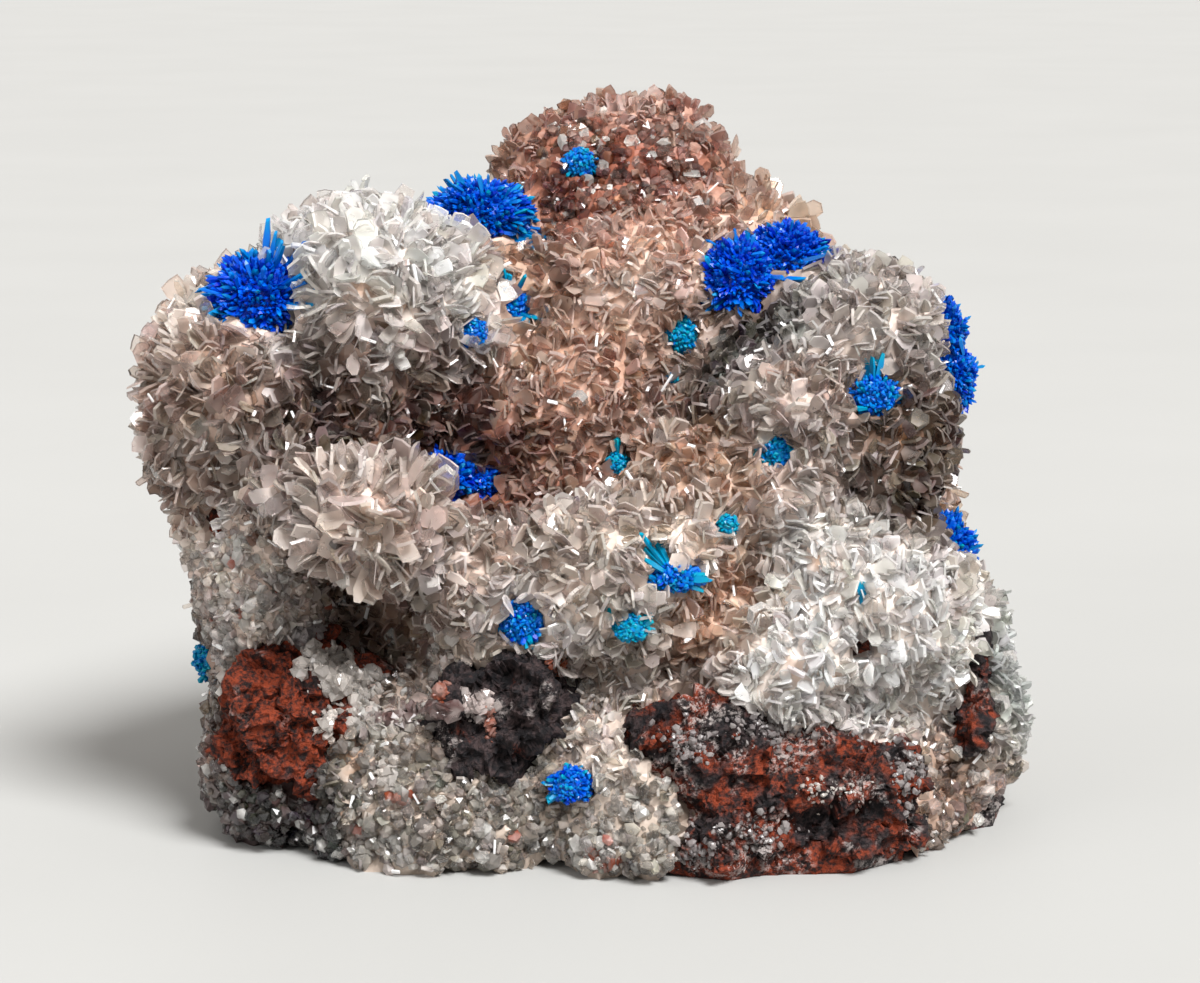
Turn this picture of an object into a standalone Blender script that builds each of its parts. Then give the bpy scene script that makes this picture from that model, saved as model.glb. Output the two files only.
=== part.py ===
# A hand specimen: cavansite rosettes on a crust of stilbite that grew round pieces of red basalt.
# It stands on its broken-off foot, which is flat. The origin is under its middle, on the surface it stands on.
#
# Sizes are in millimetres here and become metres where a mesh is made. Places are given as they are seen
# in a look at the front from 10 degrees above: "across" and "up" lie on the plane through the look's target,
# square to the line of sight, and "back" is how far behind the target the point lies, along +Y.

import math
import random

import bmesh
import bpy
from mathutils import Matrix, Vector, noise
from mathutils.bvhtree import BVHTree

MM = 0.001

# The look at the front
LOOK_ELEVATION = math.radians(10)
LOOK_DISTANCE = 200.0
LOOK_TARGET = Vector((0.45, -0.7, 18.0))
LOOK_RIGHT = Vector((1, 0, 0))
LOOK_UP = Vector((0, math.sin(LOOK_ELEVATION), math.cos(LOOK_ELEVATION)))
LOOK_EYE = LOOK_TARGET + LOOK_DISTANCE * Vector((0, -math.cos(LOOK_ELEVATION), math.sin(LOOK_ELEVATION)))

# The crust's surface
VOXEL = 0.6
BODY_TRIANGLES = 1250
RELIEF_HEIGHT = 0.45
RELIEF_SPACING = 3.2
JOIN_ANGLE = math.radians(28)
TIP_HEIGHT = 1.1
TIP_HEIGHT_LOW = 0.4
DRUSE_TOP = 9.5
DRUSE_SMOOTH = 0.8
FOOT_RIM = 1.0
GAP = 0.3
MERGE = 0.004
LEAST_TIP = 0.35

# A large stilbite crystal: a face of the crust drawn out into a straight block with a point
CRYSTAL_SHARE = 0.6
CRYSTAL_FACE = 1.6
CRYSTAL_SIDE = 1.0
CRYSTAL_POINT = 0.6
CRYSTAL_TAPER = 0.62

# A broken piece of basalt
ROCK_FILL = 0.9
ROCK_SQUARE = 0.2
ROCK_BREAKS = [(1.1, 0.36), (2.7, 0.30)]
ROCK_FACES_KEPT = 0.5

# A cavansite rosette: a ball of needles, here a core whose outer faces are drawn out into points
ROSETTE_CORE = 0.8
ROSETTE_SUNK = 0.1
NEEDLE_REACH = 1.2
SPRIG_WIDTH = 0.9
SPRIG_THICKNESS = 0.45

# Lumps of the crust: name, across, up, back, half width, half depth, half height
LUMPS = [
    ("left dome", -13.5, 10.6, -3.0, 5.4, 6.5, 5.2),
    ("left dome, right side", -9.4, 10.3, -2.0, 3.4, 5.0, 3.8),
    ("left lobe", -20.0, 6.2, -3.5, 4.8, 7.0, 5.3),
    ("left lobe, low", -21.6, 3.2, -4.5, 3.6, 5.0, 3.6),
    ("left band", -15.0, 4.6, -2.0, 6.2, 7.5, 4.2),
    ("front knob", -12.9, -1.2, -11.0, 4.0, 4.6, 3.2),
    ("front knob, root", -17.0, 0.6, -9.0, 2.8, 4.0, 2.0),
    ("peak", 1.1, 16.6, 9.0, 5.6, 6.0, 5.3),
    ("peak, left", -3.2, 17.0, 9.0, 2.4, 3.5, 2.0),
    ("peak, right", 5.0, 17.5, 8.0, 2.5, 4.0, 2.8),
    ("shoulder, right", 7.9, 14.0, 7.0, 3.6, 5.0, 3.0),
    ("shoulder", 2.3, 10.8, 3.5, 5.6, 6.0, 5.6),
    ("ridge", -0.6, 5.2, -1.0, 3.4, 5.0, 4.6),
    ("right crown", 14.6, 9.0, -1.0, 4.0, 6.0, 3.6),
    ("right crown, left", 11.3, 10.6, 2.0, 2.8, 5.0, 2.3),
    ("right arm", 11.3, 5.0, -5.5, 4.1, 4.5, 2.6),
    ("right lobe", 16.0, 3.6, -2.5, 3.6, 7.0, 4.2),
    ("arm tip", 5.7, 0.9, -6.5, 3.4, 4.5, 2.7),
    ("arm, underside", 10.2, 0.1, -6.5, 4.0, 5.0, 2.8),
    ("centre mound", 0.8, -4.7, -10.0, 5.4, 5.5, 4.6),
    ("centre, left", -5.9, -5.6, -8.5, 4.5, 5.5, 4.2),
    ("mound, right", 5.1, -2.7, -10.0, 2.8, 4.0, 2.5),
    ("right swell", 14.0, -6.1, -6.0, 6.4, 7.5, 5.2),
    ("right swell, front", 10.7, -9.0, -10.0, 5.0, 5.0, 3.0),
    ("right swell, side", 19.0, -8.2, -3.0, 3.4, 6.0, 3.8),
    ("right edge", 20.8, -12.9, -1.0, 3.1, 7.0, 4.4),
    ("left wall, top", -19.2, -1.8, -4.5, 3.9, 5.5, 3.6),
    ("left wall", -18.8, -5.6, -4.5, 3.9, 6.0, 4.6),
    ("left wall, low", -17.9, -13.8, -3.5, 4.3, 9.0, 7.4),
    ("foot, left", -9.0, -17.0, -7.0, 8.0, 9.5, 7.6),
    ("foot, middle", 2.3, -17.0, -7.0, 8.0, 10.5, 8.2),
    ("foot, right", 12.0, -17.4, -5.5, 7.5, 10.5, 7.8),
    ("foot, far right", 18.2, -17.8, -2.0, 3.8, 8.0, 5.0),
    ("foot, under the heart", 0.0, -19.0, 3.0, 19.0, 13.0, 6.0),
    ("saddle", -5.6, 10.8, 4.5, 4.6, 5.0, 3.6),
    ("hollow, floor", 8.2, 5.6, 2.0, 6.0, 5.0, 6.0),
    ("valley, floor", -5.0, 0.5, -1.0, 8.0, 6.0, 8.0),
    ("heart", -1.0, -3.0, 3.0, 17.0, 10.5, 13.0),
    ("back, left top", -10.0, 9.0, 6.5, 6.0, 6.0, 5.5),
    ("back, right top", 9.0, 8.0, 8.5, 6.0, 6.0, 6.0),
    ("back, middle", -1.0, 6.0, 12.0, 6.0, 5.5, 6.0),
    ("back, left", -15.0, 0.0, 8.0, 6.0, 6.5, 6.0),
    ("right, behind the crown", 15.2, 4.0, 4.5, 4.2, 5.0, 6.5),
    ("back, right", 14.0, -2.0, 9.0, 5.5, 6.0, 6.0),
    ("back foot, left", -12.0, -12.0, 8.0, 8.0, 8.0, 8.0),
    ("back foot, middle", 1.0, -12.0, 10.5, 8.5, 7.5, 8.5),
    ("back foot, right", 13.0, -13.0, 8.0, 7.0, 7.5, 7.0),
]

# Pieces of basalt: name, across, up, back, half width, half depth, half height, turn about Y, roundness
ROCKS = [
    ("basalt_left", -16.8, -12.9, -8.6, 4.8, 4.4, 4.7, 25, 3),
    ("basalt_middle", -5.4, -12.6, -13.6, 4.1, 3.0, 3.2, -18, 3),
    ("basalt_right", 8.8, -17.0, -11.6, 10.2, 5.4, 6.2, 4, 3),
    ("basalt_right_edge", 20.9, -11.6, -6.0, 1.1, 2.2, 4.0, 6, 2),
    ("basalt_right_foot", 20.0, -18.6, -4.2, 2.6, 3.4, 3.0, 0, 2),
    ("basalt_back", 4.0, -15.0, 15.5, 9.0, 4.0, 6.0, 0, 3),
    ("basalt_chip_left", -21.4, -1.6, -7.6, 0.9, 0.9, 0.7, 30, 2),
    ("basalt_chip_right", 14.8, -8.7, -12.6, 0.5, 0.7, 0.8, 20, 2),
]

# Cavansite. Each rosette is one or more balls that grew together: across, up, back, half width, half depth,
# half height, roundness. A ball whose back is None sits where the look at the front meets the crust, or
# level with the rosette's first ball.
# Sprigs are single blades that stand out of the first ball: across, up, back, length.
ROSETTES = {
    "cavansite_left_dome": ([(-19.1, 10.7, None, 3.1, 2.4, 2.6, 2)], [(0.45, 1.0, 0.1, 4.2)]),
    "cavansite_behind_dome": ([(-6.8, 15.4, 4.5, 3.0, 2.6, 2.1, 2)], [(1.0, -0.35, -0.3, 3.6)]),
    "cavansite_peak": ([(-1.2, 18.5, None, 1.0, 0.8, 0.9, 1)], []),
    "cavansite_right_crown": (
        [(7.9, 12.0, 0.2, 2.5, 2.4, 2.3, 2), (10.6, 13.1, 1.0, 2.5, 2.2, 2.0, 2)],
        [(1.0, 0.35, 0.0, 5.2)],
    ),
    "cavansite_hollow": ([(4.6, 8.8, None, 0.9, 0.8, 1.1, 1)], []),
    "cavansite_dome_side": ([(-5.2, 10.3, None, 1.25, 1.1, 1.3, 1)], [(-0.1, 1.0, -0.2, 1.7)]),
    "cavansite_dome_side_small": ([(-7.2, 9.0, None, 0.85, 0.8, 0.8, 1)], []),
    "cavansite_right_arm": ([(15.4, 5.3, None, 1.6, 1.2, 1.3, 2)], [(0.05, 1.0, -0.2, 2.1)]),
    "cavansite_arm_tip": ([(10.0, 2.1, None, 1.1, 1.0, 1.1, 1)], []),
    "cavansite_right_side": (
        [(19.0, 8.9, 3.3, 1.7, 2.0, 2.1, 2), (19.7, 6.5, 3.2, 1.5, 2.0, 2.2, 1)],
        [],
    ),
    "cavansite_right_side_small": ([(18.9, 2.6, 2.2, 0.9, 1.0, 1.2, 1)], []),
    "cavansite_right_swell": ([(19.1, -3.3, 0.0, 1.6, 2.0, 2.0, 2)], []),
    "cavansite_valley": (
        [(-8.7, 0.6, None, 2.0, 1.8, 1.9, 2), (-6.4, 0.4, None, 1.4, 1.3, 1.3, 1)],
        [],
    ),
    "cavansite_centre": ([(1.0, 1.5, None, 0.75, 0.7, 0.85, 1)], []),
    "cavansite_mound": ([(4.2, -4.9, None, 1.7, 1.0, 0.8, 2)], [(-0.55, 1.0, -0.2, 2.6)]),
    "cavansite_mound_left": ([(-4.4, -7.4, None, 1.2, 1.1, 1.35, 2)], []),
    "cavansite_mound_low": ([(1.8, -7.7, None, 1.1, 0.8, 0.8, 1)], []),
    "cavansite_mound_right": ([(7.2, -1.9, None, 0.65, 0.6, 0.65, 1)], []),
    "cavansite_left_wall": ([(-22.1, -9.5, -4.0, 0.9, 1.0, 1.1, 1)], []),
    "cavansite_foot": ([(-1.6, -16.6, None, 1.35, 1.0, 1.0, 1)], []),
    "cavansite_back_left": ([(-12.5, 7.0, 12.2, 2.2, 1.9, 2.1, 2)], []),
    "cavansite_back_right": ([(11.5, 3.0, 14.6, 2.0, 1.8, 2.0, 2)], []),
    "cavansite_back_middle": ([(-3.0, -2.5, 16.0, 1.2, 1.1, 1.2, 1)], []),
}

MATERIALS = {
    "stilbite": ((0.80, 0.70, 0.63, 1.0), 0.35),
    "basalt": ((0.22, 0.07, 0.04, 1.0), 0.85),
    "cavansite": ((0.01, 0.10, 0.62, 1.0), 0.35),
}


def from_look(across, up, back):
    """The point, and how much larger than on the picture plane a thing there is."""
    on_plane = LOOK_TARGET + LOOK_RIGHT * across + LOOK_UP * up
    ray = on_plane - LOOK_EYE
    share = (LOOK_TARGET.y + back - LOOK_EYE.y) / ray.y
    return LOOK_EYE + ray * share, share


def material(name):
    colour, roughness = MATERIALS[name]
    made = bpy.data.materials.new(name)
    made.use_nodes = True
    shader = made.node_tree.nodes["Principled BSDF"]
    shader.inputs["Base Color"].default_value = colour
    shader.inputs["Roughness"].default_value = roughness
    shader.inputs["Metallic"].default_value = 0.0
    return made


def new_collection(name):
    made = bpy.data.collections.new(name)
    bpy.context.scene.collection.children.link(made)
    return made


def new_object(name, mesh, collection):
    made = bpy.data.objects.new(name, mesh)
    collection.objects.link(made)
    return made


def as_cutter(thing):
    thing.hide_render = True
    thing.display_type = "WIRE"
    return thing


def mesh_from(bm, name):
    """The bmesh as a mesh in metres, freed."""
    bmesh.ops.scale(bm, vec=Vector((MM, MM, MM)), verts=bm.verts)
    mesh = bpy.data.meshes.new(name)
    bm.to_mesh(mesh)
    bm.free()
    return mesh


def evaluated_mesh(thing):
    bpy.context.view_layer.update()
    graph = bpy.context.evaluated_depsgraph_get()
    return bpy.data.meshes.new_from_object(thing.evaluated_get(graph))


def bmesh_in_mm(mesh):
    bm = bmesh.new()
    bm.from_mesh(mesh)
    bmesh.ops.scale(bm, vec=Vector((1 / MM, 1 / MM, 1 / MM)), verts=bm.verts)
    return bm


def add_boolean(thing, operation, name, other=None, collection=None):
    cut = thing.modifiers.new(name, "BOOLEAN")
    cut.operation = operation
    cut.solver = "EXACT"
    if collection:
        cut.operand_type = "COLLECTION"
        cut.collection = collection
    else:
        cut.object = other
    return cut


def keep_largest_piece(bm):
    """Drops the crumbs that a cut leaves loose."""
    left = set(bm.verts)
    pieces = []
    while left:
        start = left.pop()
        piece = {start}
        edge = [start]
        while edge:
            for link in edge.pop().link_edges:
                for vert in link.verts:
                    if vert in left:
                        left.discard(vert)
                        piece.add(vert)
                        edge.append(vert)
        pieces.append(piece)
    largest = max(pieces, key=len)
    loose = [vert for piece in pieces if piece is not largest for vert in piece]
    bmesh.ops.delete(bm, geom=loose, context="VERTS")


def lump_frames():
    """Each lump's name, centre and half sizes."""
    frames = []
    for name, across, up, back, wide, deep, high in LUMPS:
        centre, share = from_look(across, up, back)
        frames.append((name, centre, Vector((wide * share, deep, high * share))))
    return frames


def rough_body(frames, helpers):
    """The lumps run together, with their surface slightly uneven: the crust before its crystals."""
    bm = bmesh.new()
    for _, centre, radii in frames:
        placed = Matrix.Translation(centre) @ Matrix.Diagonal((*radii, 1.0))
        bmesh.ops.create_icosphere(bm, subdivisions=3, radius=1.0, matrix=placed)
    lumps = as_cutter(new_object("lumps", mesh_from(bm, "lumps"), helpers))
    joined = lumps.modifiers.new("join the lumps", "REMESH")
    joined.mode = "VOXEL"
    joined.voxel_size = VOXEL * MM
    bm = bmesh_in_mm(evaluated_mesh(lumps))
    for vert in bm.verts:
        height = noise.noise(vert.co / RELIEF_SPACING)
        vert.co += vert.normal * height * RELIEF_HEIGHT
    return as_cutter(new_object("rough_body", mesh_from(bm, "rough_body"), helpers))


def air_angle(edge):
    """The angle on the open side between an edge's two faces: under 180 degrees in a hollow."""
    return math.pi + edge.calc_face_angle_signed(0.0)


def crystal_lean(point, frames):
    """Crystals radiate: the way out from the middle of the nearest lump."""
    nearest = min(frames, key=lambda frame: (point - frame[1]).length / min(frame[2]))
    return (point - nearest[1]).normalized()


def draw_out_crystal(bm, face, out, size):
    """Draws a face out into a tapered block and its end into a point."""
    grown = bmesh.ops.extrude_discrete_faces(bm, faces=[face])["faces"][0]
    bmesh.ops.translate(bm, vec=out * CRYSTAL_SIDE * size, verts=grown.verts)
    middle = Matrix.Translation(-grown.calc_center_median())
    bmesh.ops.scale(bm, vec=(CRYSTAL_TAPER,) * 3, space=middle, verts=grown.verts)
    bmesh.ops.poke(bm, faces=[grown], offset=CRYSTAL_POINT * size)


def draw_out_tips(bm, surface, obstacles, frames):
    """Draws each face of the open surface out into a low point, and some of them into long crystals."""
    chance = random.Random(5)
    plans = []
    for face in bm.faces:
        centre = face.calc_center_median()
        on_surface = all((surface.find_nearest(vert.co)[0] - vert.co).length < 1e-3 for vert in face.verts)
        high_up = min(1.0, max(0.0, (centre.z - DRUSE_TOP) / 4 + 0.5))
        smooth = high_up == 0.0 and chance.random() < DRUSE_SMOOTH
        if centre.z < FOOT_RIM or smooth or not on_surface:
            continue
        tightest = min(air_angle(edge) for edge in face.edges)
        inradius = 2 * face.calc_area() / face.calc_perimeter()
        size = chance.uniform(0.6, 1.4)
        lean = (face.normal * 2 + crystal_lean(centre, frames)).normalized()
        clear = obstacles.find_nearest(centre)[3] > 3 * CRYSTAL_SIDE
        roomy = tightest > math.radians(146) and face.calc_area() > CRYSTAL_FACE
        long_one = clear and roomy and high_up > 0.5 and chance.random() < CRYSTAL_SHARE
        height = (TIP_HEIGHT_LOW + (TIP_HEIGHT - TIP_HEIGHT_LOW) * high_up) * size
        height = min(height, inradius * math.tan(min(0.42 * tightest, math.radians(55))))
        height = min(height, 0.6 * (obstacles.find_nearest(centre + face.normal * height)[3] - GAP))
        plans.append((face, long_one, lean, size, height))
    for face, long_one, lean, size, height in plans:
        if long_one:
            draw_out_crystal(bm, face, lean, size)
        elif height > LEAST_TIP:
            bmesh.ops.poke(bm, faces=[face], offset=height)


def blade(bm, root, along, flat, length, width, thickness, tip):
    """Adds a flat crystal with a four-sided point, from root along a direction, its broad side facing flat."""
    side = along.cross(flat).normalized()
    turned = Matrix((side, along.cross(side), along)).transposed().to_4x4()
    body = bmesh.ops.create_cube(bm, size=1.0)["verts"]
    top = {vert for vert in body if vert.co.z > 0}
    ends = [face for vert in top for face in vert.link_faces if all(v in top for v in face.verts)]
    poked = bmesh.ops.poke(bm, faces=ends[:1], offset=0.0)
    point = poked["verts"]
    bmesh.ops.scale(bm, vec=(width, thickness, length - tip), verts=body + point)
    bmesh.ops.translate(bm, vec=(0, 0, (length - tip) / 2), verts=body + point)
    bmesh.ops.translate(bm, vec=(0, 0, tip), verts=point)
    bmesh.ops.transform(bm, matrix=Matrix.Translation(root) @ turned, verts=body + point)


def rock(name, across, up, back, wide, deep, high, turn, roundness, collections):
    """A broken piece of basalt and the pocket that the crust leaves round it."""
    parts, pockets, ground = collections
    centre, share = from_look(across, up, back)
    half = Vector((wide * share, deep, high * share))
    bm = bmesh.new()
    bmesh.ops.create_icosphere(bm, subdivisions=roundness, radius=1.0)
    seed = Vector((across, up, back))
    for vert in bm.verts:
        broken = sum(noise.noise(vert.co * often + seed) * deep_in for often, deep_in in ROCK_BREAKS)
        square = max(abs(c) for c in vert.co) ** ROCK_SQUARE
        vert.co = vert.co * (1 + broken) / square * ROCK_FILL * half
    room = bm.copy()
    bmesh.ops.delete(room, geom=room.edges, context="EDGES_FACES")
    hull = bmesh.ops.convex_hull(room, input=room.verts)
    bmesh.ops.delete(room, geom=hull["geom_interior"], context="VERTS")
    bmesh.ops.scale(room, vec=[1 + 1.5 * GAP / side for side in half], verts=room.verts)
    for shape in (bm, room):
        bmesh.ops.rotate(shape, matrix=Matrix.Rotation(math.radians(turn), 3, "Y"), verts=shape.verts)
        bmesh.ops.translate(shape, vec=centre, verts=shape.verts)
    piece = new_object(name, mesh_from(bm, name), parts)
    piece.data.materials.append(bpy.data.materials["basalt"])
    angular = piece.modifiers.new("angular", "DECIMATE")
    angular.ratio = ROCK_FACES_KEPT
    if centre.z - high * 1.3 < GAP:
        add_boolean(piece, "DIFFERENCE", "cut off flat", other=ground)
    as_cutter(new_object(name + "_pocket", mesh_from(room, name + "_pocket"), pockets))
    return piece


def needle_ball(bm, radii, roundness, out, chance):
    """A core whose faces on the open side are drawn out into points."""
    bmesh.ops.create_icosphere(bm, subdivisions=roundness, radius=ROSETTE_CORE)
    for face in list(bm.faces):
        if face.normal.dot(out) < 0.0:
            continue
        height = chance.uniform(2 - NEEDLE_REACH, NEEDLE_REACH) - ROSETTE_CORE
        bmesh.ops.poke(bm, faces=[face], offset=height)
    bmesh.ops.scale(bm, vec=radii, verts=bm.verts)


def pocket_round(name, centre, radii, roundness, pockets):
    """The room in the crust for a ball of needles."""
    bm = bmesh.new()
    inscribed = {1: 0.80, 2: 0.93}[roundness]
    room = [(side * NEEDLE_REACH + GAP) / inscribed for side in radii]
    placed = Matrix.Translation(centre) @ Matrix.Diagonal((*room, 1.0))
    bmesh.ops.create_icosphere(bm, subdivisions=roundness, radius=1.0, matrix=placed)
    as_cutter(new_object(name, mesh_from(bm, name), pockets))


def rosette(name, balls, sprigs, surface, collections):
    """Balls of needles and their single blades joined in one solid, and the pockets that they sit in."""
    parts, helpers, pockets = collections
    chance = random.Random(name)
    shapes = []
    places = []
    for across, up, back, wide, deep, high, roundness in balls:
        if back is None and places:
            centre = from_look(across, up, places[0].y - LOOK_TARGET.y)[0]
        elif back is None:
            ray = (from_look(across, up, 0.0)[0] - LOOK_EYE).normalized()
            centre = surface.ray_cast(LOOK_EYE, ray)[0] + ray * deep * ROSETTE_SUNK
        else:
            centre = from_look(across, up, back)[0]
        share = (centre - LOOK_EYE).length / LOOK_DISTANCE
        radii = Vector((wide * share, deep, high * share))
        bm = bmesh.new()
        needle_ball(bm, radii, roundness, surface.find_nearest(centre)[1], chance)
        bmesh.ops.translate(bm, vec=centre, verts=bm.verts)
        shapes.append(mesh_from(bm, name))
        places.append(centre)
        pocket_round(f"{name}_pocket_{len(places)}", centre, radii, roundness, pockets)
    for across, up, back, length in sprigs:
        along = (LOOK_RIGHT * across + LOOK_UP * up + Vector((0, back, 0))).normalized()
        bm = bmesh.new()
        broad_side = Vector((0, -1, 0.2))
        blade(bm, places[0], along, broad_side, length, SPRIG_WIDTH, SPRIG_THICKNESS, length * 0.3)
        shapes.append(mesh_from(bm, name))
        bm = bmesh.new()
        room = 2 * GAP
        blade(bm, places[0], along, broad_side, length + room, SPRIG_WIDTH + room, SPRIG_THICKNESS + room, room)
        as_cutter(new_object(f"{name}_sprig_pocket", mesh_from(bm, name), pockets))
    whole = new_object(name, shapes[0], parts)
    whole.data.materials.append(bpy.data.materials["cavansite"])
    for i, mesh in enumerate(shapes[1:]):
        grown = as_cutter(new_object(f"{name}_part_{i}", mesh, helpers))
        add_boolean(whole, "UNION", f"grown together {i}", other=grown)
    return whole


def crust(rough, frames, neighbours, pockets, ground, parts, helpers):
    """The stilbite crust: one solid in flat faces, with its foot flat and its pockets cut."""
    facets = rough.modifiers.new("facets", "DECIMATE")
    facets.use_collapse_triangulate = True
    facets.ratio = BODY_TRIANGLES / (2 * len(rough.data.polygons))
    bm = bmesh_in_mm(evaluated_mesh(rough))
    surface = BVHTree.FromBMesh(bm)
    body = as_cutter(new_object("faceted_body", mesh_from(bm, "faceted_body"), helpers))
    add_boolean(body, "DIFFERENCE", "cut off flat", other=ground)
    add_boolean(body, "DIFFERENCE", "pockets", collection=pockets)
    bm = bmesh_in_mm(evaluated_mesh(body))
    keep_largest_piece(bm)
    bmesh.ops.triangulate(bm, faces=bm.faces)
    bmesh.ops.remove_doubles(bm, verts=bm.verts, dist=MERGE)
    bmesh.ops.join_triangles(
        bm, faces=bm.faces, angle_face_threshold=JOIN_ANGLE, angle_shape_threshold=math.radians(60)
    )
    solids = bmesh.new()
    for piece in neighbours:
        solids.from_mesh(evaluated_mesh(piece))
    bmesh.ops.scale(solids, vec=Vector((1 / MM, 1 / MM, 1 / MM)), verts=solids.verts)
    obstacles = BVHTree.FromBMesh(solids)
    solids.free()
    draw_out_tips(bm, surface, obstacles, frames)
    bmesh.ops.triangulate(bm, faces=bm.faces)
    whole = new_object("stilbite_crust", mesh_from(bm, "stilbite_crust"), parts)
    whole.data.materials.clear()
    whole.data.materials.append(bpy.data.materials["stilbite"])
    return whole


def build():
    for old in list(bpy.data.objects):
        bpy.data.objects.remove(old)
    for name in MATERIALS:
        material(name)
    parts = new_collection("cavansite_cluster")
    helpers = new_collection("helpers")
    pockets = new_collection("pockets")

    bm = bmesh.new()
    bmesh.ops.create_cube(bm, size=1.0, matrix=Matrix.Translation((0, 0, -10)) @ Matrix.Diagonal((90, 90, 20, 1)))
    ground = as_cutter(new_object("ground", mesh_from(bm, "ground"), helpers))

    frames = lump_frames()
    rough = rough_body(frames, helpers)
    surface_mm = bmesh_in_mm(rough.data)
    surface = BVHTree.FromBMesh(surface_mm)
    surface_mm.free()
    neighbours = [rock(*values, (parts, pockets, ground)) for values in ROCKS]
    for name, (balls, sprigs) in ROSETTES.items():
        neighbours.append(rosette(name, balls, sprigs, surface, (parts, helpers, pockets)))
    crust(rough, frames, neighbours, pockets, ground, parts, helpers)


build()
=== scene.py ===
# The looks of a cavansite cluster: stilbite blades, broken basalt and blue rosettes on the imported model.
# Places and sizes are in millimetres until a mesh is written, which is in metres.
import math
import random

import bmesh
import bpy
import numpy as np
from mathutils import Matrix, Vector, noise
from mathutils.bvhtree import BVHTree
from mathutils.kdtree import KDTree


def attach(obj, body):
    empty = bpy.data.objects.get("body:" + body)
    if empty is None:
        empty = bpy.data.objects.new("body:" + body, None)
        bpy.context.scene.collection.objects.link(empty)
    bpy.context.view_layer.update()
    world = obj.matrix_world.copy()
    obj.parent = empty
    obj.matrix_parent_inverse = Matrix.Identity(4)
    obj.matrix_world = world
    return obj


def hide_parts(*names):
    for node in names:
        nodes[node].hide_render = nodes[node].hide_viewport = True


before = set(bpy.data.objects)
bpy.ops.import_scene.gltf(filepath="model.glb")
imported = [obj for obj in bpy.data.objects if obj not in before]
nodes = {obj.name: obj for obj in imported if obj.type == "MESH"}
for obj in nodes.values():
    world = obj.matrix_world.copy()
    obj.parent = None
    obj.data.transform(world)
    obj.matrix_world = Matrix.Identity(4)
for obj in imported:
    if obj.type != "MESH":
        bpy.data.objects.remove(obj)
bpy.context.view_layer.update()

mm = 0.001
rockNames = sorted(name for name in nodes if name.startswith("basalt"))
rosetteNames = sorted(name for name in nodes if name.startswith("cavansite"))

# The photograph's view: across and up lie on the plane through its target, back is how far behind it
look = {
    "elevation": math.radians(10),
    "distance": 200.0,
    "target": Vector((0.45, -0.7, 18.0)),
    "lens": 106.08,
    "sensor": 36.0,
    "nearest": 0.01,  # metres
}
lookUp = Vector((0, math.sin(look["elevation"]), math.cos(look["elevation"])))
lookOut = Vector((0, -math.cos(look["elevation"]), math.sin(look["elevation"])))
lookRight = Vector((1, 0, 0))
lookEye = look["target"] + look["distance"] * lookOut


def fromLook(across, up, back):
    onPlane = look["target"] + lookRight * across + lookUp * up
    ray = onPlane - lookEye
    return lookEye + ray * ((look["target"].y + back - lookEye.y) / ray.y)


# Meshes

def addObject(name, mesh):
    made = bpy.data.objects.new(name, mesh)
    bpy.context.scene.collection.objects.link(made)
    return made


def finishPiece(name, mesh, material, replaced):
    made = addObject(name, mesh)
    mesh.materials.clear()
    mesh.materials.append(material)
    mesh.polygons.foreach_set("use_smooth", [False] * len(mesh.polygons))
    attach(made, "root")
    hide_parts(*replaced)
    return made


def nodeBmesh(names):  # the CAD nodes' own shape, merged and in millimetres
    bm = bmesh.new()
    for name in names:
        bm.from_mesh(nodes[name].data)
    bmesh.ops.scale(bm, vec=Vector((1 / mm,) * 3), verts=bm.verts)
    bmesh.ops.remove_doubles(bm, verts=bm.verts, dist=0.001)
    return bm


def toMesh(bm, name):
    bmesh.ops.scale(bm, vec=Vector((mm,) * 3), verts=bm.verts)
    mesh = bpy.data.meshes.new(name)
    bm.to_mesh(mesh)
    bm.free()
    return mesh


def remeshed(bm, voxel):
    made = addObject("remesh", toMesh(bm, "remesh"))
    skin = made.modifiers.new("skin", "REMESH")
    skin.mode = "VOXEL"
    skin.voxel_size = voxel * mm
    bpy.context.view_layer.update()
    mesh = bpy.data.meshes.new_from_object(made.evaluated_get(bpy.context.evaluated_depsgraph_get()))
    bpy.data.objects.remove(made)
    bm = bmesh.new()
    bm.from_mesh(mesh)
    bmesh.ops.scale(bm, vec=Vector((1 / mm,) * 3), verts=bm.verts)
    return bm


def offset(bm, distance):
    bm.normal_update()
    for vert in bm.verts:
        vert.co += vert.normal * distance


def smoothed(bm, times):
    for _ in range(times):
        bmesh.ops.smooth_vert(bm, verts=bm.verts, factor=0.5,
                              use_axis_x=True, use_axis_y=True, use_axis_z=True)


def treeOf(bm):
    bm.normal_update()
    return BVHTree.FromBMesh(bm)


testWay = Vector((0.31, 0.47, 0.83)).normalized()


def outsideBy(tree, point):  # how far the point is outside the closed solids, negative inside them
    distance = tree.find_nearest(point)[3]
    normal = tree.ray_cast(point, testWay)[1]
    return -distance if normal is not None and normal.dot(testWay) > 0 else distance


def unit(vectors):
    return vectors / np.linalg.norm(vectors, axis=-1, keepdims=True)


def axesAlong(along, draws):  # width, length and thickness ways, turned at random round the length
    width = unit(np.cross(along, unit(draws.normal(size=along.shape))))
    return width, along, np.cross(width, along)


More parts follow.
